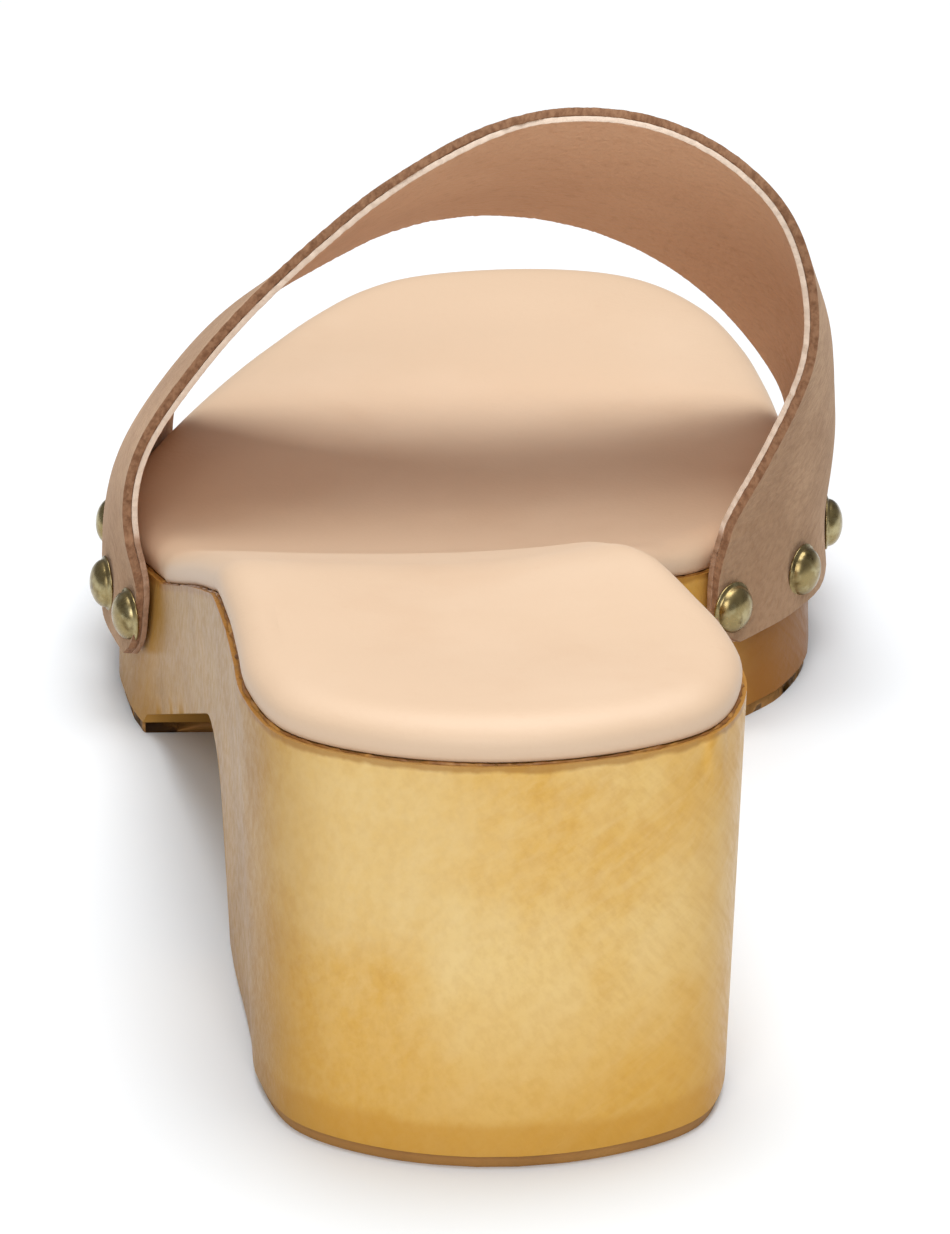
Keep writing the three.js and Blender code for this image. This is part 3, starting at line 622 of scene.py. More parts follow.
# %% Finish: rubber, glue and antique brass
rubber_finish, n, shader, place = new_material("amber_rubber")
colour = blotched(n, place, tone(168, 120, 58), tone(186, 138, 74), tone(138, 94, 42), 60.0)
n.tree.links.new(colour, shader.inputs["Base Color"])
bumped(n, shader, grained(n, place, 900.0, 300.0, 3000.0).outputs["Height"], 0.3, 0.0004)
shader.inputs["Roughness"].default_value = 0.6

glue_finish, n, shader, place = new_material("old_glue")
colour = blotched(n, place, tone(146, 94, 38), tone(204, 150, 72), tone(92, 54, 20), 300.0, 0.9, 0.9)
n.tree.links.new(colour, shader.inputs["Base Color"])
shader.inputs["Roughness"].default_value = 0.4

brass_finish, n, shader, place = new_material("antique_brass")
colour = blotched(n, place, tone(150, 132, 90), tone(188, 176, 136), tone(78, 58, 30), 420.0, 0.7, 0.8)
n.tree.links.new(colour, shader.inputs["Base Color"])
shader.inputs["Metallic"].default_value = 1.0
n.tree.links.new(n.ramp(n.noise(place, 700.0, 3.0), 0.3, 0.8, 0.22, 0.42), shader.inputs["Roughness"])
print("finishes:", rubber_finish.name, glue_finish.name, brass_finish.name)

# %% [markdown]
# The wooden base is one block whose underside is cut away between heel and forefoot. A boolean
# cut would do it, but it leaves long thin faces that a bevel can't follow. Here the block is a
# grid of rows across the sole, extruded to a block, and the rows under the arch are lifted. Two
# rows share the place of the heel's breast, which gives its upright wall.

# %% Rows across the wood
ROWS_ALONG, FILLET_STEPS, RAMP_STEPS = 150, 8, 21
BREAST, FOREFOOT_START = 64.0, 138.5
ARCH_SLOPE, ARCH_FILLET, RUBBER = 0.44, 9.0, 1.5
WOOD_FOOT = RUBBER + SEAM
RAMP_END = (FOREFOOT_START - 0.9, RUBBER + 1.8)


def even_rows():
    """Rows at even steps along the inner edge, from just inside the heel's back to the toe's tip."""
    e = EDGES["medial"]
    ends = np.interp([0.1, SOLE_LENGTH - 0.1], e["y"], e["length"])
    return np.interp(np.linspace(ends[0], ends[1], ROWS_ALONG), e["length"], e["y"])


def wood_rows():
    """Each row's place along the top, its place along the foot, and its height under the arch."""
    lean = math.hypot(1, ARCH_SLOPE)
    centre_y = BREAST + ARCH_FILLET
    centre_z = RAMP_END[1] + ARCH_SLOPE * (RAMP_END[0] - centre_y) - ARCH_FILLET * lean
    arch = [(BREAST, WOOD_FOOT)]
    first, last = math.pi, math.atan2(1, ARCH_SLOPE)
    for k in range(FILLET_STEPS + 1):
        a = first + (last - first) * k / FILLET_STEPS
        arch.append((centre_y + ARCH_FILLET * math.cos(a), centre_z + ARCH_FILLET * math.sin(a)))
    ramp_from = arch[-1]
    for k in range(1, RAMP_STEPS + 1):
        t = k / RAMP_STEPS
        arch.append((ramp_from[0] + (RAMP_END[0] - ramp_from[0]) * t,
                     ramp_from[1] + (RAMP_END[1] - ramp_from[1]) * t))
    arch.append((FOREFOOT_START - 0.15, WOOD_FOOT))
    even = even_rows()
    heel = [(y, None) for y in even if y < BREAST - 1]
    toe = [(y, None) for y in even if y > FOREFOOT_START + 2]
    top = [y for y, _ in heel]
    for y, _ in arch:
        top.append(max(y, top[-1] + 0.25))
    top += [y for y, _ in toe]
    rows = heel + arch + toe
    return np.array(top), np.array([y for y, _ in rows]), [z for _, z in rows]


row_top, row_foot, row_arch = wood_rows()
print("rows across the wood:", len(row_top))

# %% [markdown]
# Now the block itself. The grid becomes the top, and extruding it gives the foot and the walls.
# Cuts in the tall walls keep their faces short, and a narrow bevel rounds every edge that a
# sander would round. Last, each vertex gets the two values that the wood's finish reads.

# %% Wooden base
WOOD_ACROSS, WOOD_EDGE, HEEL_ROUND = 10, 0.9, 36
bm, chart = charted_grid(WOOD_ACROSS, len(row_top) - 1)
top_verts = bm.verts[:]
lower = bmesh.ops.extrude_face_region(bm, geom=bm.faces[:], use_keep_orig=True)
foot_verts = new_verts(lower)
place_uv = charted(top_verts, chart)
row_of = np.rint((place_uv[:, 1] + 1) / 2 * (len(row_top) - 1)).astype(int)
x, y = across_sole(row_top[row_of], place_uv[:, 0], 0.0)
move_to(top_verts, np.column_stack([x, y, seat_height(x, y)]))

place_uv = charted(foot_verts, chart)
row_of = np.rint((place_uv[:, 1] + 1) / 2 * (len(row_top) - 1)).astype(int)
foot_y = row_foot[row_of]
arch_z = np.array([np.nan if z is None else z for z in row_arch])[row_of]
foot_z = np.where(np.isnan(arch_z), spring_height(foot_y) + WOOD_FOOT, arch_z)
outer_x, outer_nx, outer_ny = rim("lateral", foot_y)
inner_x, inner_nx, inner_ny = rim("medial", foot_y)
outer_out = wall_spread(outer_x, foot_y, outer_nx, foot_z)
inner_out = wall_spread(inner_x, foot_y, inner_nx, foot_z)
t = (place_uv[:, 0] + 1) / 2
x = (outer_x + outer_nx * outer_out) * (1 - t) + (inner_x + inner_nx * inner_out) * t
y = (foot_y + outer_ny * outer_out) * (1 - t) + (foot_y + inner_ny * inner_out) * t
z = np.where(np.isnan(arch_z), spring_height(y) + WOOD_FOOT, arch_z)
move_to(foot_verts, np.column_stack([x, y, z]))
bmesh.ops.remove_doubles(bm, verts=bm.verts, dist=1e-6)
bmesh.ops.recalc_face_normals(bm, faces=bm.faces)
upright = [e for e in bm.edges if len(e.link_faces) == 2 and e.calc_length() > 12 * MM
           and abs(e.verts[0].co.z - e.verts[1].co.z) > 0.9 * e.calc_length()]
bmesh.ops.subdivide_edges(bm, edges=upright, cuts=5, use_grid_fill=True)
sharp = [e for e in bm.edges if len(e.link_faces) == 2 and e.calc_face_angle(0) > math.radians(42)]
bmesh.ops.bevel(bm, geom=sharp, offset=WOOD_EDGE * MM, offset_type="OFFSET", affect="EDGES", segments=3,
                profile=0.5, material=-1, clamp_overlap=True)
drop_layer = bm.verts.layers.float.new("rim_drop")
shade_side_layer = bm.verts.layers.float.new("painted_shade_side")
# The second value tells which way the wall faces, from -1 outer to 1 inner; the finish paints shade on the
# side walls from it.
for v in bm.verts:
    px, py = v.co.x / MM - ORIGIN[0], v.co.y / MM - ORIGIN[1]
    from_middle = px - float(rim("lateral", py)[0] + rim("medial", py)[0]) / 2
    v[shade_side_layer] = from_middle / max(math.hypot(from_middle, min(py - HEEL_ROUND, 0)), 1)
    v[drop_layer] = float(seat_height(px, py)) * MM - v.co.z
wood = finished("wooden_base", bm, wood_finish, "wood_base")
flat_first(wood)

# %% [markdown]
# The insole is a leather-covered pad of thin foam that follows the wood's top. A grid that ends
# in a point at the heel would pinch the leather there, so the flat grid is first pushed into a
# round disc and then into the sole's shape. The rolled edge is made by extruding the rim
# outwards and down, one ring at a time, and a copy of the grid closes the bottom.

# %% Insole pad
def disc_place(uv):
    """A square grid's place pushed into a round disc: the share along and the share across."""
    u, v = uv[:, 0], uv[:, 1]
    dx, dy = u * np.sqrt(1 - v * v / 2), v * np.sqrt(1 - u * u / 2)
    half = np.sqrt(np.maximum(1 - dy * dy, 0))
    share = np.where(half > 1e-6, dx / np.maximum(half, 1e-6), 0.0)
    return SOLE_LENGTH * (1 + dy) / 2, np.clip(share, -1, 1)


def pad_ring(angle, roll, low, high):
    """How far in a ring of the rolled edge lies, and how high, at an angle of its quarter turn."""
    a = math.radians(angle)
    return PAD_INSET - PAD_BULGE + roll * (1 - math.cos(a)), low + (high - low) * math.sin(a)


PAD_WIDEST = 1.6
PAD_RINGS = [pad_ring(a, PAD_ROLL + PAD_BULGE, PAD_WIDEST, PAD_THICK)
             for a in (90, 74, 60, 47, 35, 24, 12, 0)]
PAD_RINGS += [pad_ring(a, PAD_BULGE, PAD_WIDEST, 0) for a in (35, 65, 90)]
bm, chart = charted_grid(60, 110)
level = bm.verts.layers.float["level"]
bottom = bmesh.ops.duplicate(bm, geom=bm.verts[:] + bm.edges[:] + bm.faces[:])
bottom_faces = [g for g in bottom["geom"] if isinstance(g, bmesh.types.BMFace)]
bottom_verts = [g for g in bottom["geom"] if isinstance(g, bmesh.types.BMVert)]
for v in bottom_verts:
    v[level] = len(PAD_RINGS) - 1
bmesh.ops.reverse_faces(bm, faces=bottom_faces)
in_bottom = set(bottom_verts)
edges = [e for e in bm.edges if e.is_boundary and e.verts[0] not in in_bottom]
for ring in range(1, len(PAD_RINGS)):
    made = bmesh.ops.extrude_edge_only(bm, edges=edges)
    edges = [e for e in new_edges(made) if e.is_boundary]
    for v in new_verts(made):
        v[level] = ring
verts = bm.verts[:]
pad_y, pad_share = disc_place(charted(verts, chart))
ring_of = np.array([round(v[level]) for v in verts])
points = np.zeros((len(verts), 3))
for ring, (inset, up) in enumerate(PAD_RINGS):
    here = ring_of == ring
    x, y = across_sole(pad_y[here], pad_share[here], inset)
    points[here] = np.column_stack([x, y, seat_height(x, y) + SEAM + up])
move_to(verts, points)
bmesh.ops.remove_doubles(bm, verts=bm.verts, dist=2e-6)
insole = finished("insole_pad", bm, insole_finish, "insole")

# %% [markdown]
# The leather is stretched over soft foam, so it crowns a little between its glued edges. A short
# cloth simulation finds that shape: pressure pushes from inside, the foot of the rolled edge is
# held, gravity is off, and no point may move further than a cap. The moves are evened out between
# neighbours, and the result becomes the mesh.

# %% Let the leather swell over its foam
SWELL_FRAMES, SWELL_CAP, EVENING_PASSES = 14, 0.6 * MM, 16


def swell(piece, free_rings):
    """Lets the piece's first rings swell, and gives the furthest move in metres."""
    levels = [0.0] * len(piece.data.vertices)
    piece.data.attributes["level"].data.foreach_get("value", levels)
    held = piece.vertex_groups.new(name="held")
    held.add([i for i, ring in enumerate(levels) if ring > free_rings], 1.0, "REPLACE")
    cloth = piece.modifiers.new("swell", "CLOTH")
    cloth.settings.quality = 5
    cloth.settings.mass = 0.3
    cloth.settings.tension_stiffness = 60
    cloth.settings.compression_stiffness = 60
    cloth.settings.bending_stiffness = 8
    cloth.settings.vertex_group_mass = "held"
    cloth.settings.use_pressure = True
    cloth.settings.uniform_pressure_force = 4
    cloth.settings.effector_weights.gravity = 0
    cloth.point_cache.frame_start, cloth.point_cache.frame_end = 1, SWELL_FRAMES
    for frame_number in range(1, SWELL_FRAMES + 1):
        bpy.context.scene.frame_set(frame_number)
    shaped = piece.evaluated_get(bpy.context.evaluated_depsgraph_get())
    moved = [v.co.copy() for v in shaped.data.vertices]
    piece.modifiers.remove(cloth)
    piece.vertex_groups.remove(held)
    bpy.context.scene.frame_set(1)
    rest = np.array([v.co[:] for v in piece.data.vertices])
    steps = np.array([to[:] for to in moved]) - rest
    pairs = np.array([e.vertices[:] for e in piece.data.edges])
    free = (np.array(levels) <= free_rings)[:, None]
    for _ in range(EVENING_PASSES):
        near, count = np.zeros_like(steps), np.zeros((len(steps), 1))
        for a, b in ((0, 1), (1, 0)):
            np.add.at(near, pairs[:, a], steps[pairs[:, b]])
            np.add.at(count, pairs[:, a], 1)
        steps = np.where(free, near / np.maximum(count, 1), 0.0)
    length = np.linalg.norm(steps, axis=1)[:, None]
    steps *= np.minimum(1.0, SWELL_CAP / np.maximum(length, 1e-9))
    for v, place, step in zip(piece.data.vertices, rest, steps):
        v.co = place + step
    return float(np.linalg.norm(steps, axis=1).max())


print("furthest move of the leather:", round(swell(insole, 4) / MM, 2), "mm")

# %% [markdown]
# Glue squeezed out where the pad meets the wood. It is a thin bead that follows the outline and
# swells and thins without a pattern.

# %% Glue line
loop = {key: np.r_[EDGES["medial"][key], EDGES["lateral"][key][-2:0:-1]]
        for key in ("x", "y", "nx", "ny")}
around = np.r_[0, np.cumsum(np.hypot(np.diff(loop["x"]), np.diff(loop["y"])))]
bm, chart = charted_grid(8, 1100)
place_uv = charted(bm.verts, chart)
at = (place_uv[:, 1] + 1) / 2 * around[-1]
x, y, nx, ny = (np.interp(at, around, loop[key]) for key in ("x", "y", "nx", "ny"))
lumps = np.array([noise.noise(Vector((a * 0.5, b * 0.5, 1.0)))
                  + 0.6 * noise.noise(Vector((a * 1.7, b * 1.7, 4.0))) for a, b in zip(x, y)])
radius = np.clip(0.2 + 0.26 * lumps, 0.05, 0.5)
angle = place_uv[:, 0] * math.pi
out_by = radius * 1.3 * np.cos(angle) - 0.85
x, y = x + nx * out_by, y + ny * out_by
move_to(bm.verts, np.column_stack([x, y, seat_height(x, y) + 0.02 + radius * np.sin(angle)]))
bmesh.ops.remove_doubles(bm, verts=bm.verts, dist=1e-6)
finished("glue_line", bm, glue_finish, None)

# %% [markdown]
# The strap is two layers sewn and glued together: suede outside and a leather lining inside.
# Its inner face is a smooth surface between three arcs over the foot: at its rear edge, in its
# middle and at its front edge. A grid laid on that surface is extruded twice, once for each layer.

# %% The strap's table
STRAP_RISE, STRAP_WALL, STRAP_GAP = 64.6, 2.6, 0.58
STRAP_FOOT = {"medial": 12.5, "lateral": 11.0}
STRAP_ROWS = np.array([
    (-0.828, 0, -0.998, 0, -0.866, 0), (-0.895, 0.134, -0.964, 0.116, -0.849, 0.099),
    (-0.885, 0.274, -0.895, 0.222, -0.797, 0.191), (-0.683, 0.514, -0.695, 0.42, -0.623, 0.337),
    (-0.417, 0.716, -0.43, 0.578, -0.409, 0.449), (-0.119, 0.889, -0.155, 0.71, -0.181, 0.542),
    (0.222, 0.999, 0.15, 0.787, 0.073, 0.577), (0.589, 0.971, 0.465, 0.772, 0.328, 0.551),
    (0.881, 0.798, 0.77, 0.672, 0.564, 0.471), (0.963, 0.525, 0.985, 0.475, 0.76, 0.348),
    (0.822, 0.261, 1.045, 0.24, 0.915, 0.19), (0.727, 0.137, 1.042, 0.124, 0.97, 0.1),
    (0.668, 0, 1.022, 0, 0.986, 0),
])
LAST_ROW = len(STRAP_ROWS) - 1
STRAP_REAR, REAR_LEAN = 137, 0.19
STRAP_FRONT, FRONT_LEAN = 200, 0.15
STRAP_HOLD, STRAP_CORNER = 0.6, 4.0
TAB_STEP, TAB_TOP = 0.8, 29.0


def rear_edge_y(z):
    return STRAP_REAR + REAR_LEAN * z


def front_edge_y(z):
    return STRAP_FRONT - FRONT_LEAN * z


def end_cut(foot, z):
    """How far the strap's round corners are cut back at a height."""
    low = np.clip(STRAP_CORNER - (z - foot), 0, STRAP_CORNER)
    return STRAP_CORNER - np.sqrt(STRAP_CORNER ** 2 - low ** 2)


def tab_out(z):
    """How far the tab stands out behind the strap's rear edge at a height."""
    t = np.clip((TAB_TOP + 0.5 - z) / 1.0, 0, 1)
    return TAB_STEP * t * t * (3 - 2 * t)


def strap_column(share, path):
    """Points of the inner face at one share from rear to front. Along the path, 0 and LAST_ROW
    are at the wood's top edge, and one unit before and after runs down the wall."""
    rest = 1 - share
    weights = np.array([rest * (rest - share), 4 * share * rest, share * (share - rest)])
    across = STRAP_ROWS[:, 0::2] @ weights * BALL_HALF_WIDTH
    up = STRAP_ROWS[:, 1::2] @ weights * STRAP_RISE
    y = rear_edge_y(BALL_HEIGHT) - TAB_STEP
    y += (front_edge_y(BALL_HEIGHT) - y) * share
    pull = {}
    for side, first in (("lateral", 0), ("medial", LAST_ROW)):
        x, nx, _ = rim(side, y)
        pull[side] = x + STRAP_GAP / nx - across[first]
    hold = np.maximum(1 - up / (STRAP_RISE * STRAP_HOLD), 0) ** 2
    across = across + np.where(across > 0, pull["medial"], pull["lateral"]) * hold
    section = np.column_stack([across, np.zeros(len(up)), BALL_HEIGHT + up])
    points = curve_points(section, np.clip(path, 0, LAST_ROW))
    for side, wall in (("lateral", 1 + path), ("medial", LAST_ROW + 1 - path)):
        here = (wall < 1) & (wall > -0.001)
        points[here, 2] = STRAP_FOOT[side] + (BALL_HEIGHT - STRAP_FOOT[side]) * wall[here]
    z = points[:, 2]
    foot = np.where(path < LAST_ROW / 2, STRAP_FOOT["lateral"], STRAP_FOOT["medial"])
    rear = rear_edge_y(z) + end_cut(foot, z)
    front = front_edge_y(z) - end_cut(foot, z)
    points[:, 1] = rear + (front - rear) * share
    for side, here in (("lateral", path < 0), ("medial", path > LAST_ROW)):
        x, nx, ny = rim(side, points[here, 1])
        out = STRAP_GAP + wall_spread(x, points[here, 1], nx, points[here, 2])
        points[here, 0] = x + nx * out
        points[here, 1] += ny * out
    return points


print("top of the strap's inner face:", round(BALL_HEIGHT + STRAP_RISE, 1), "mm above the floor")

# %% [markdown]
# The surface is sampled densely over the foot and more densely near both edges, where the bevel
# comes. Leather bends in long curves, so each line over the foot is evened out with a soft window.
# The little tab at the rear is pushed out after that, or the smoothing would take it away.

# %% The strap's surface
STRAP_OVER, EVEN_REACH = 520, 14
path_fine = np.linspace(-1, LAST_ROW + 1, 1400)
middle = strap_column(0.5, path_fine)
girth = np.r_[0, np.cumsum(np.linalg.norm(np.diff(middle, axis=0), axis=1))]
path_even = np.interp(np.linspace(0, girth[-1], STRAP_OVER + 1), girth, path_fine)
half_edge = np.array([0, 0.004, 0.009, 0.016, 0.026, 0.04, 0.058, 0.08, 0.105, 0.135, 0.17, 0.21,
                      0.25, 0.295, 0.345, 0.395, 0.447])
share_even = np.r_[half_edge, 0.5, 1 - half_edge[::-1]]
inner_face = np.array([strap_column(s, path_even) for s in share_even])
window = np.hanning(2 * EVEN_REACH + 1)
window /= window.sum()
for axis in range(3):
    for j in range(len(share_even)):
        line = inner_face[j, :, axis]
        before = 2 * line[0] - line[EVEN_REACH:0:-1]
        after = 2 * line[-1] - line[-2:-EVEN_REACH - 2:-1]
        inner_face[j, :, axis] = np.convolve(np.r_[before, line, after], window, mode="valid")
over_run = np.gradient(inner_face, axis=1)
along_run = np.gradient(inner_face, share_even, axis=0)
strap_normal = np.cross(over_run, along_run)
strap_normal /= np.linalg.norm(strap_normal, axis=2)[:, :, None]
strap_normal[:, :9] = strap_normal[:, 9:10]
strap_normal[:, -9:] = strap_normal[:, -10:-9]
inner_face[:, :, 1] -= tab_out(inner_face[:, :, 2]) * ((1 - share_even) ** 10)[:, None]
print("strap over the foot:", round(girth[-1], 1), "mm")

# %% [markdown]
# Four nails stand along each foot of the strap, at shares of its length that were read off the
# photograph where they show. Each stands square to the wall of the wood.

# %% Nail places
NAIL_SHARES = {"medial": (0.045, 0.32, 0.6, 0.88), "lateral": (0.04, 0.24, 0.62, 0.88)}
NAIL_UP, NAIL_SINK = {"medial": 5.3, "lateral": 6.1}, 0.6


def nail_places():
    """Each nail's name, the middle of its head's underside and its way out."""
    found = []
    for side in ("medial", "lateral"):
        z = STRAP_FOOT[side] + NAIL_UP[side]
        y = np.linspace(rear_edge_y(z), front_edge_y(z), 201)
        x, nx, ny = rim(side, y)
        run = np.r_[0, np.cumsum(np.hypot(np.diff(x), np.diff(y)))]
        for number, share in enumerate(NAIL_SHARES[side], 1):
            k = int(np.argmax(run >= share * run[-1]))
            out = wall_spread(x[k], y[k], nx[k], z) + STRAP_GAP + STRAP_WALL - NAIL_SINK
            normal = np.array([nx[k], ny[k], 0])
            normal /= np.linalg.norm(normal)
            found.append((f"nail_{side}_{number}", np.array([x[k], y[k], z]) + normal * out, normal))
    return found


nails = nail_places()

# %% [markdown]
# Each layer is the grid laid on that surface and extruded to its thickness. A knife-cut edge is
# never quite straight, so the edges stray a little, and the suede sinks a hair under each nail's
# head. The edge's faces are bevelled and marked for the finishes.

# %% Strap layers
LINING_TO, SUEDE_FROM, SUEDE_TO = 0.85, 0.9, 2.2
NAIL_DENT, DENT_REACH, CUT_EDGE = 0.3, 5.0, 0.25


def ragged_edge(i, seed):
    """How far a knife-cut edge strays at a place along it, in millimetres."""
    slow = noise.noise(Vector((i * 0.045, seed, 0.0)))
    quick = noise.noise(Vector((i * 0.33, seed, 7.0)))
    fuzz = noise.noise(Vector((i * 1.3, seed, 13.0)))
    return 0.36 * slow + 0.28 * quick + 0.2 * fuzz


def strap_layer(low, high):
    """One layer of the strap between two distances from the inner face, with softened cut edges."""
    seed = low * 10
    stray = np.array([[ragged_edge(i, seed + side) for i in range(STRAP_OVER + 1)] for side in (0, 3)])
    bm, chart = charted_grid(len(share_even) - 1, STRAP_OVER)
    cut = bm.verts.layers.float.new("cut")
    inner_verts = bm.verts[:]
    outer_verts = new_verts(bmesh.ops.extrude_face_region(bm, geom=bm.faces[:], use_keep_orig=True))
    for verts, out in ((inner_verts, low), (outer_verts, high)):
        uv = charted(verts, chart)
        j = np.rint((uv[:, 0] + 1) / 2 * (len(share_even) - 1)).astype(int)
        i = np.rint((uv[:, 1] + 1) / 2 * STRAP_OVER).astype(int)
        points = inner_face[j, i] + strap_normal[j, i] * out
        near_rear, near_front = (1 - share_even[j]) ** 14, share_even[j] ** 14
        points[:, 1] += stray[0, i] * near_rear - stray[1, i] * near_front
        if out == SUEDE_TO:
            for _, place, normal in nails:
                away = np.linalg.norm(points - place, axis=1)
                points -= normal * (NAIL_DENT * np.exp(-((away / DENT_REACH) ** 4)))[:, None]
        move_to(verts, points)
    bmesh.ops.recalc_face_normals(bm, faces=bm.faces)
    inner_set, outer_set = set(inner_verts), set(outer_verts)
    for f in bm.faces:
        f.material_index = int(any(v in inner_set for v in f.verts) and any(v in outer_set for v in f.verts))
    rim_edges = [e for e in bm.edges if e.link_faces[0].material_index != e.link_faces[1].material_index]
    bmesh.ops.bevel(bm, geom=rim_edges, offset=CUT_EDGE * MM, offset_type="OFFSET", affect="EDGES",
                    segments=2, profile=0.5, material=-1, clamp_overlap=True)
    for f in bm.faces:
        for v in f.verts:
            v[cut] = max(v[cut], float(f.material_index))
    for f in bm.faces:
        f.material_index = 0
    return bm


finished("strap_suede", strap_layer(SUEDE_FROM, SUEDE_TO), suede_finish, "strap")
finished("strap_lining", strap_layer(0.0, LINING_TO), lining_finish, None)

# %% [markdown]
# Each nail is a round brass head on a thin shank, driven through the strap into the wood. The
# head is a low dome over a thin flange. Spinning half of its outline once round an axis makes the
# whole head in one step, closer to the real turned shape than a squashed sphere.

# %% Nail heads
HEAD_RADIUS, HEAD_HEIGHT, SHANK_RADIUS, SHANK_LENGTH = 4.0, 2.6, 0.8, 12.0
HEAD_OUTLINE = [(0.0, -SHANK_LENGTH), (SHANK_RADIUS, 2 * SHANK_RADIUS - SHANK_LENGTH),
                (SHANK_RADIUS, 0.0), (HEAD_RADIUS - 0.12, 0.0), (HEAD_RADIUS, 0.1), (HEAD_RADIUS, 0.26),
                (HEAD_RADIUS - 0.12, 0.38), (HEAD_RADIUS - 0.45, 0.45)]
for k in range(1, 11):
    a = math.pi / 2 * k / 10
    HEAD_OUTLINE.append(((HEAD_RADIUS - 0.5) * math.cos(a), 0.45 + (HEAD_HEIGHT - 0.45) * math.sin(a)))
HEAD_OUTLINE[-1] = (0.0, HEAD_HEIGHT)


def nail_piece(name, place, normal):
    """One nail, spun about its axis and turned to stand out of the wall."""
    bm = bmesh.new()
    ring = [bm.verts.new((r, 0, h)) for r, h in HEAD_OUTLINE]
    line = [bm.edges.new(pair) for pair in zip(ring, ring[1:])]
    bmesh.ops.spin(bm, geom=ring + line, axis=(0, 0, 1), cent=(0, 0, 0), angle=math.tau, steps=36,
                   use_merge=True, use_duplicate=False)
    bmesh.ops.remove_doubles(bm, verts=bm.verts, dist=1e-4)
    turn = Vector((0, 0, 1)).rotation_difference(Vector(normal)).to_matrix().to_4x4()
    bmesh.ops.scale(bm, vec=(MM, MM, MM), verts=bm.verts)
    bmesh.ops.rotate(bm, cent=(0, 0, 0), matrix=turn, verts=bm.verts)
    bmesh.ops.translate(bm, vec=Vector((place + ORIGIN) * MM), verts=bm.verts)
    return finished(name.replace("nail", "stud"), bm, brass_finish, name)


for name, place, normal in nails:
    nail_piece(name, place, normal)

# %% [markdown]
# Rubber under the heel and the forefoot keeps the wood off the ground. Each is a thin sheet of the
# same outline as the wood's foot, a little inside it, and the forefoot's follows the toe's spring.

# %% Rubber under heel and forefoot
RUBBER_TOP, RUBBER_INSET, RUBBER_EDGE = RUBBER + SEAM - 0.05, 0.65, 0.3


def rubber_piece(name, node, start, end):
    """A sheet of rubber under the wood's foot from one distance to another."""
    start, end = max(start, 0.1), min(end, SOLE_LENGTH - 0.1)
    rows = np.array([start] + [y for y in even_rows() if start + 0.6 < y < end - 0.6] + [end])
    bm, chart = charted_grid(WOOD_ACROSS, len(rows) - 1)
    flat = bm.verts[:]
    upper = new_verts(bmesh.ops.extrude_face_region(bm, geom=bm.faces[:], use_keep_orig=True))
    for verts, lift in ((flat, 0.0), (upper, RUBBER_TOP)):
        uv = charted(verts, chart)
        y0 = rows[np.rint((uv[:, 1] + 1) / 2 * (len(rows) - 1)).astype(int)]
        x, y = across_sole(y0, uv[:, 0], lambda x, y, nx: RUBBER_INSET - wall_spread(x, y, nx, 0.0))
        y = np.clip(y, start if start > 1 else -9, end if end < SOLE_LENGTH - 1 else SOLE_LENGTH + 9)
        move_to(verts, np.column_stack([x, y, spring_height(y) + lift]))
    bmesh.ops.remove_doubles(bm, verts=bm.verts, dist=1e-6)
    bmesh.ops.recalc_face_normals(bm, faces=bm.faces)
    sharp = [e for e in bm.edges if len(e.link_faces) == 2 and e.calc_face_angle(0) > math.radians(50)]
    bmesh.ops.bevel(bm, geom=sharp, offset=RUBBER_EDGE * MM, offset_type="OFFSET", affect="EDGES",
                    segments=2, profile=0.5, material=-1, clamp_overlap=True)
    return finished(name, bm, rubber_finish, node)


rubber_piece("heel_sole", "heel_rubber", 0.0, BREAST)
rubber_piece("forefoot_sole", "forefoot_rubber", FOREFOOT_START, SOLE_LENGTH)

# %% [markdown]
# The studio is a pale floor, a white surround and two large soft lights, one overhead and one
# behind the camera. Large lights give the broad highlights and the soft shadow of a shop's photo.

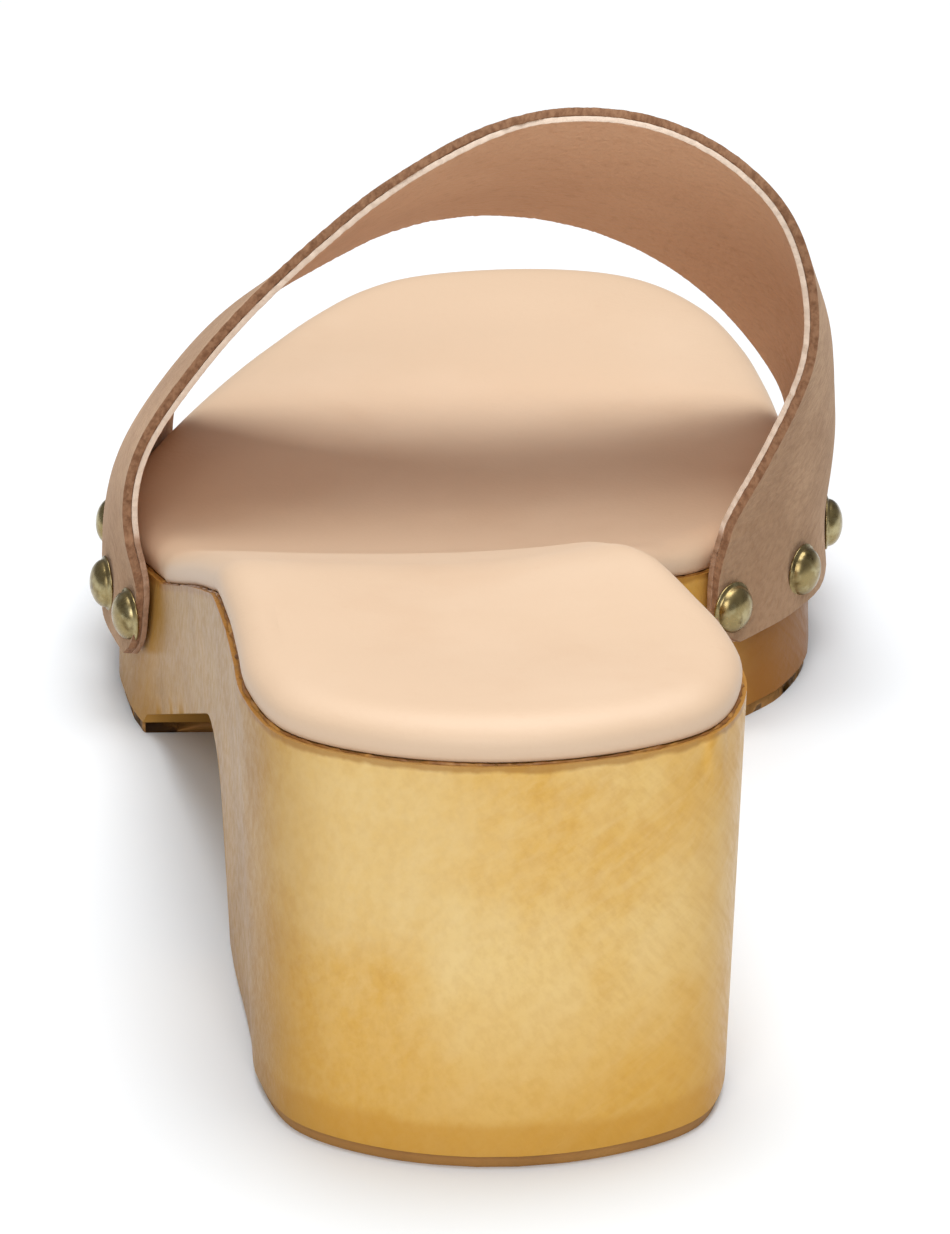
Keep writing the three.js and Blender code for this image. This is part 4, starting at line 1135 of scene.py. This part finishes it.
# %% Floor, surround and lights
bm = bmesh.new()
bmesh.ops.create_grid(bm, x_segments=1, y_segments=1, size=4)
floor_mesh = bpy.data.meshes.new("floor")
bm.to_mesh(floor_mesh)
bm.free()
floor = bpy.data.objects.new("floor", floor_mesh)
bpy.context.scene.collection.objects.link(floor)
floor_finish, n, shader, place = new_material("pale_floor")
shader.inputs["Base Color"].default_value = (0.875, 0.91, 0.945, 1)
shader.inputs["Roughness"].default_value = 0.9
floor_mesh.materials.append(floor_finish)

world = bpy.data.worlds.new("surround")
bpy.context.scene.world = world
world.use_nodes = True
background = world.node_tree.nodes["Background"]
background.inputs["Color"].default_value = (1, 1, 1, 1)
background.inputs["Strength"].default_value = 0.27


def soft_light(name, place, aim, size, power):
    """A square panel of light that looks at a point."""
    data = bpy.data.lights.new(name, "AREA")
    data.shape = "SQUARE"
    data.size = size
    data.energy = power
    lamp = bpy.data.objects.new(name, data)
    bpy.context.scene.collection.objects.link(lamp)
    lamp.location = place
    lamp.rotation_euler = (Vector(aim) - Vector(place)).to_track_quat("-Z", "Y").to_euler()
    return lamp


lamps = [soft_light("overhead", (0.05, 0.12, 1.25), (0, 0, 0), 1.0, 15.5),
         soft_light("behind_camera", (-0.1, -1.4, 0.9), (0, 0, 0.03), 0.9, 11.0)]
print("lights:", [lamp.name for lamp in lamps])

# %% [markdown]
# The camera's place was worked out from the photograph, as millimetres from the heel's back. The
# lens is longer than the photograph's, so that the shoe fills the picture.

# %% Camera
FROM_HEEL = np.array([-20.1, -821.9, 425.3])
PHOTO_LENS, CLOSER = 109.5, 1.95
EYE = Vector((FROM_HEEL + ORIGIN) * MM)
AIM = Vector((0.0, 0.0, 0.0235))
camera_data = bpy.data.cameras.new("camera")
camera_data.lens = PHOTO_LENS * CLOSER
camera_data.sensor_width = 36
camera = bpy.data.objects.new("camera", camera_data)
bpy.context.scene.collection.objects.link(camera)
camera.location = EYE
camera.rotation_euler = (AIM - EYE).to_track_quat("-Z", "Y").to_euler()
bpy.context.scene.camera = camera
bpy.context.scene.view_settings.view_transform = "Standard"
print("camera:", [round(c, 3) for c in EYE])
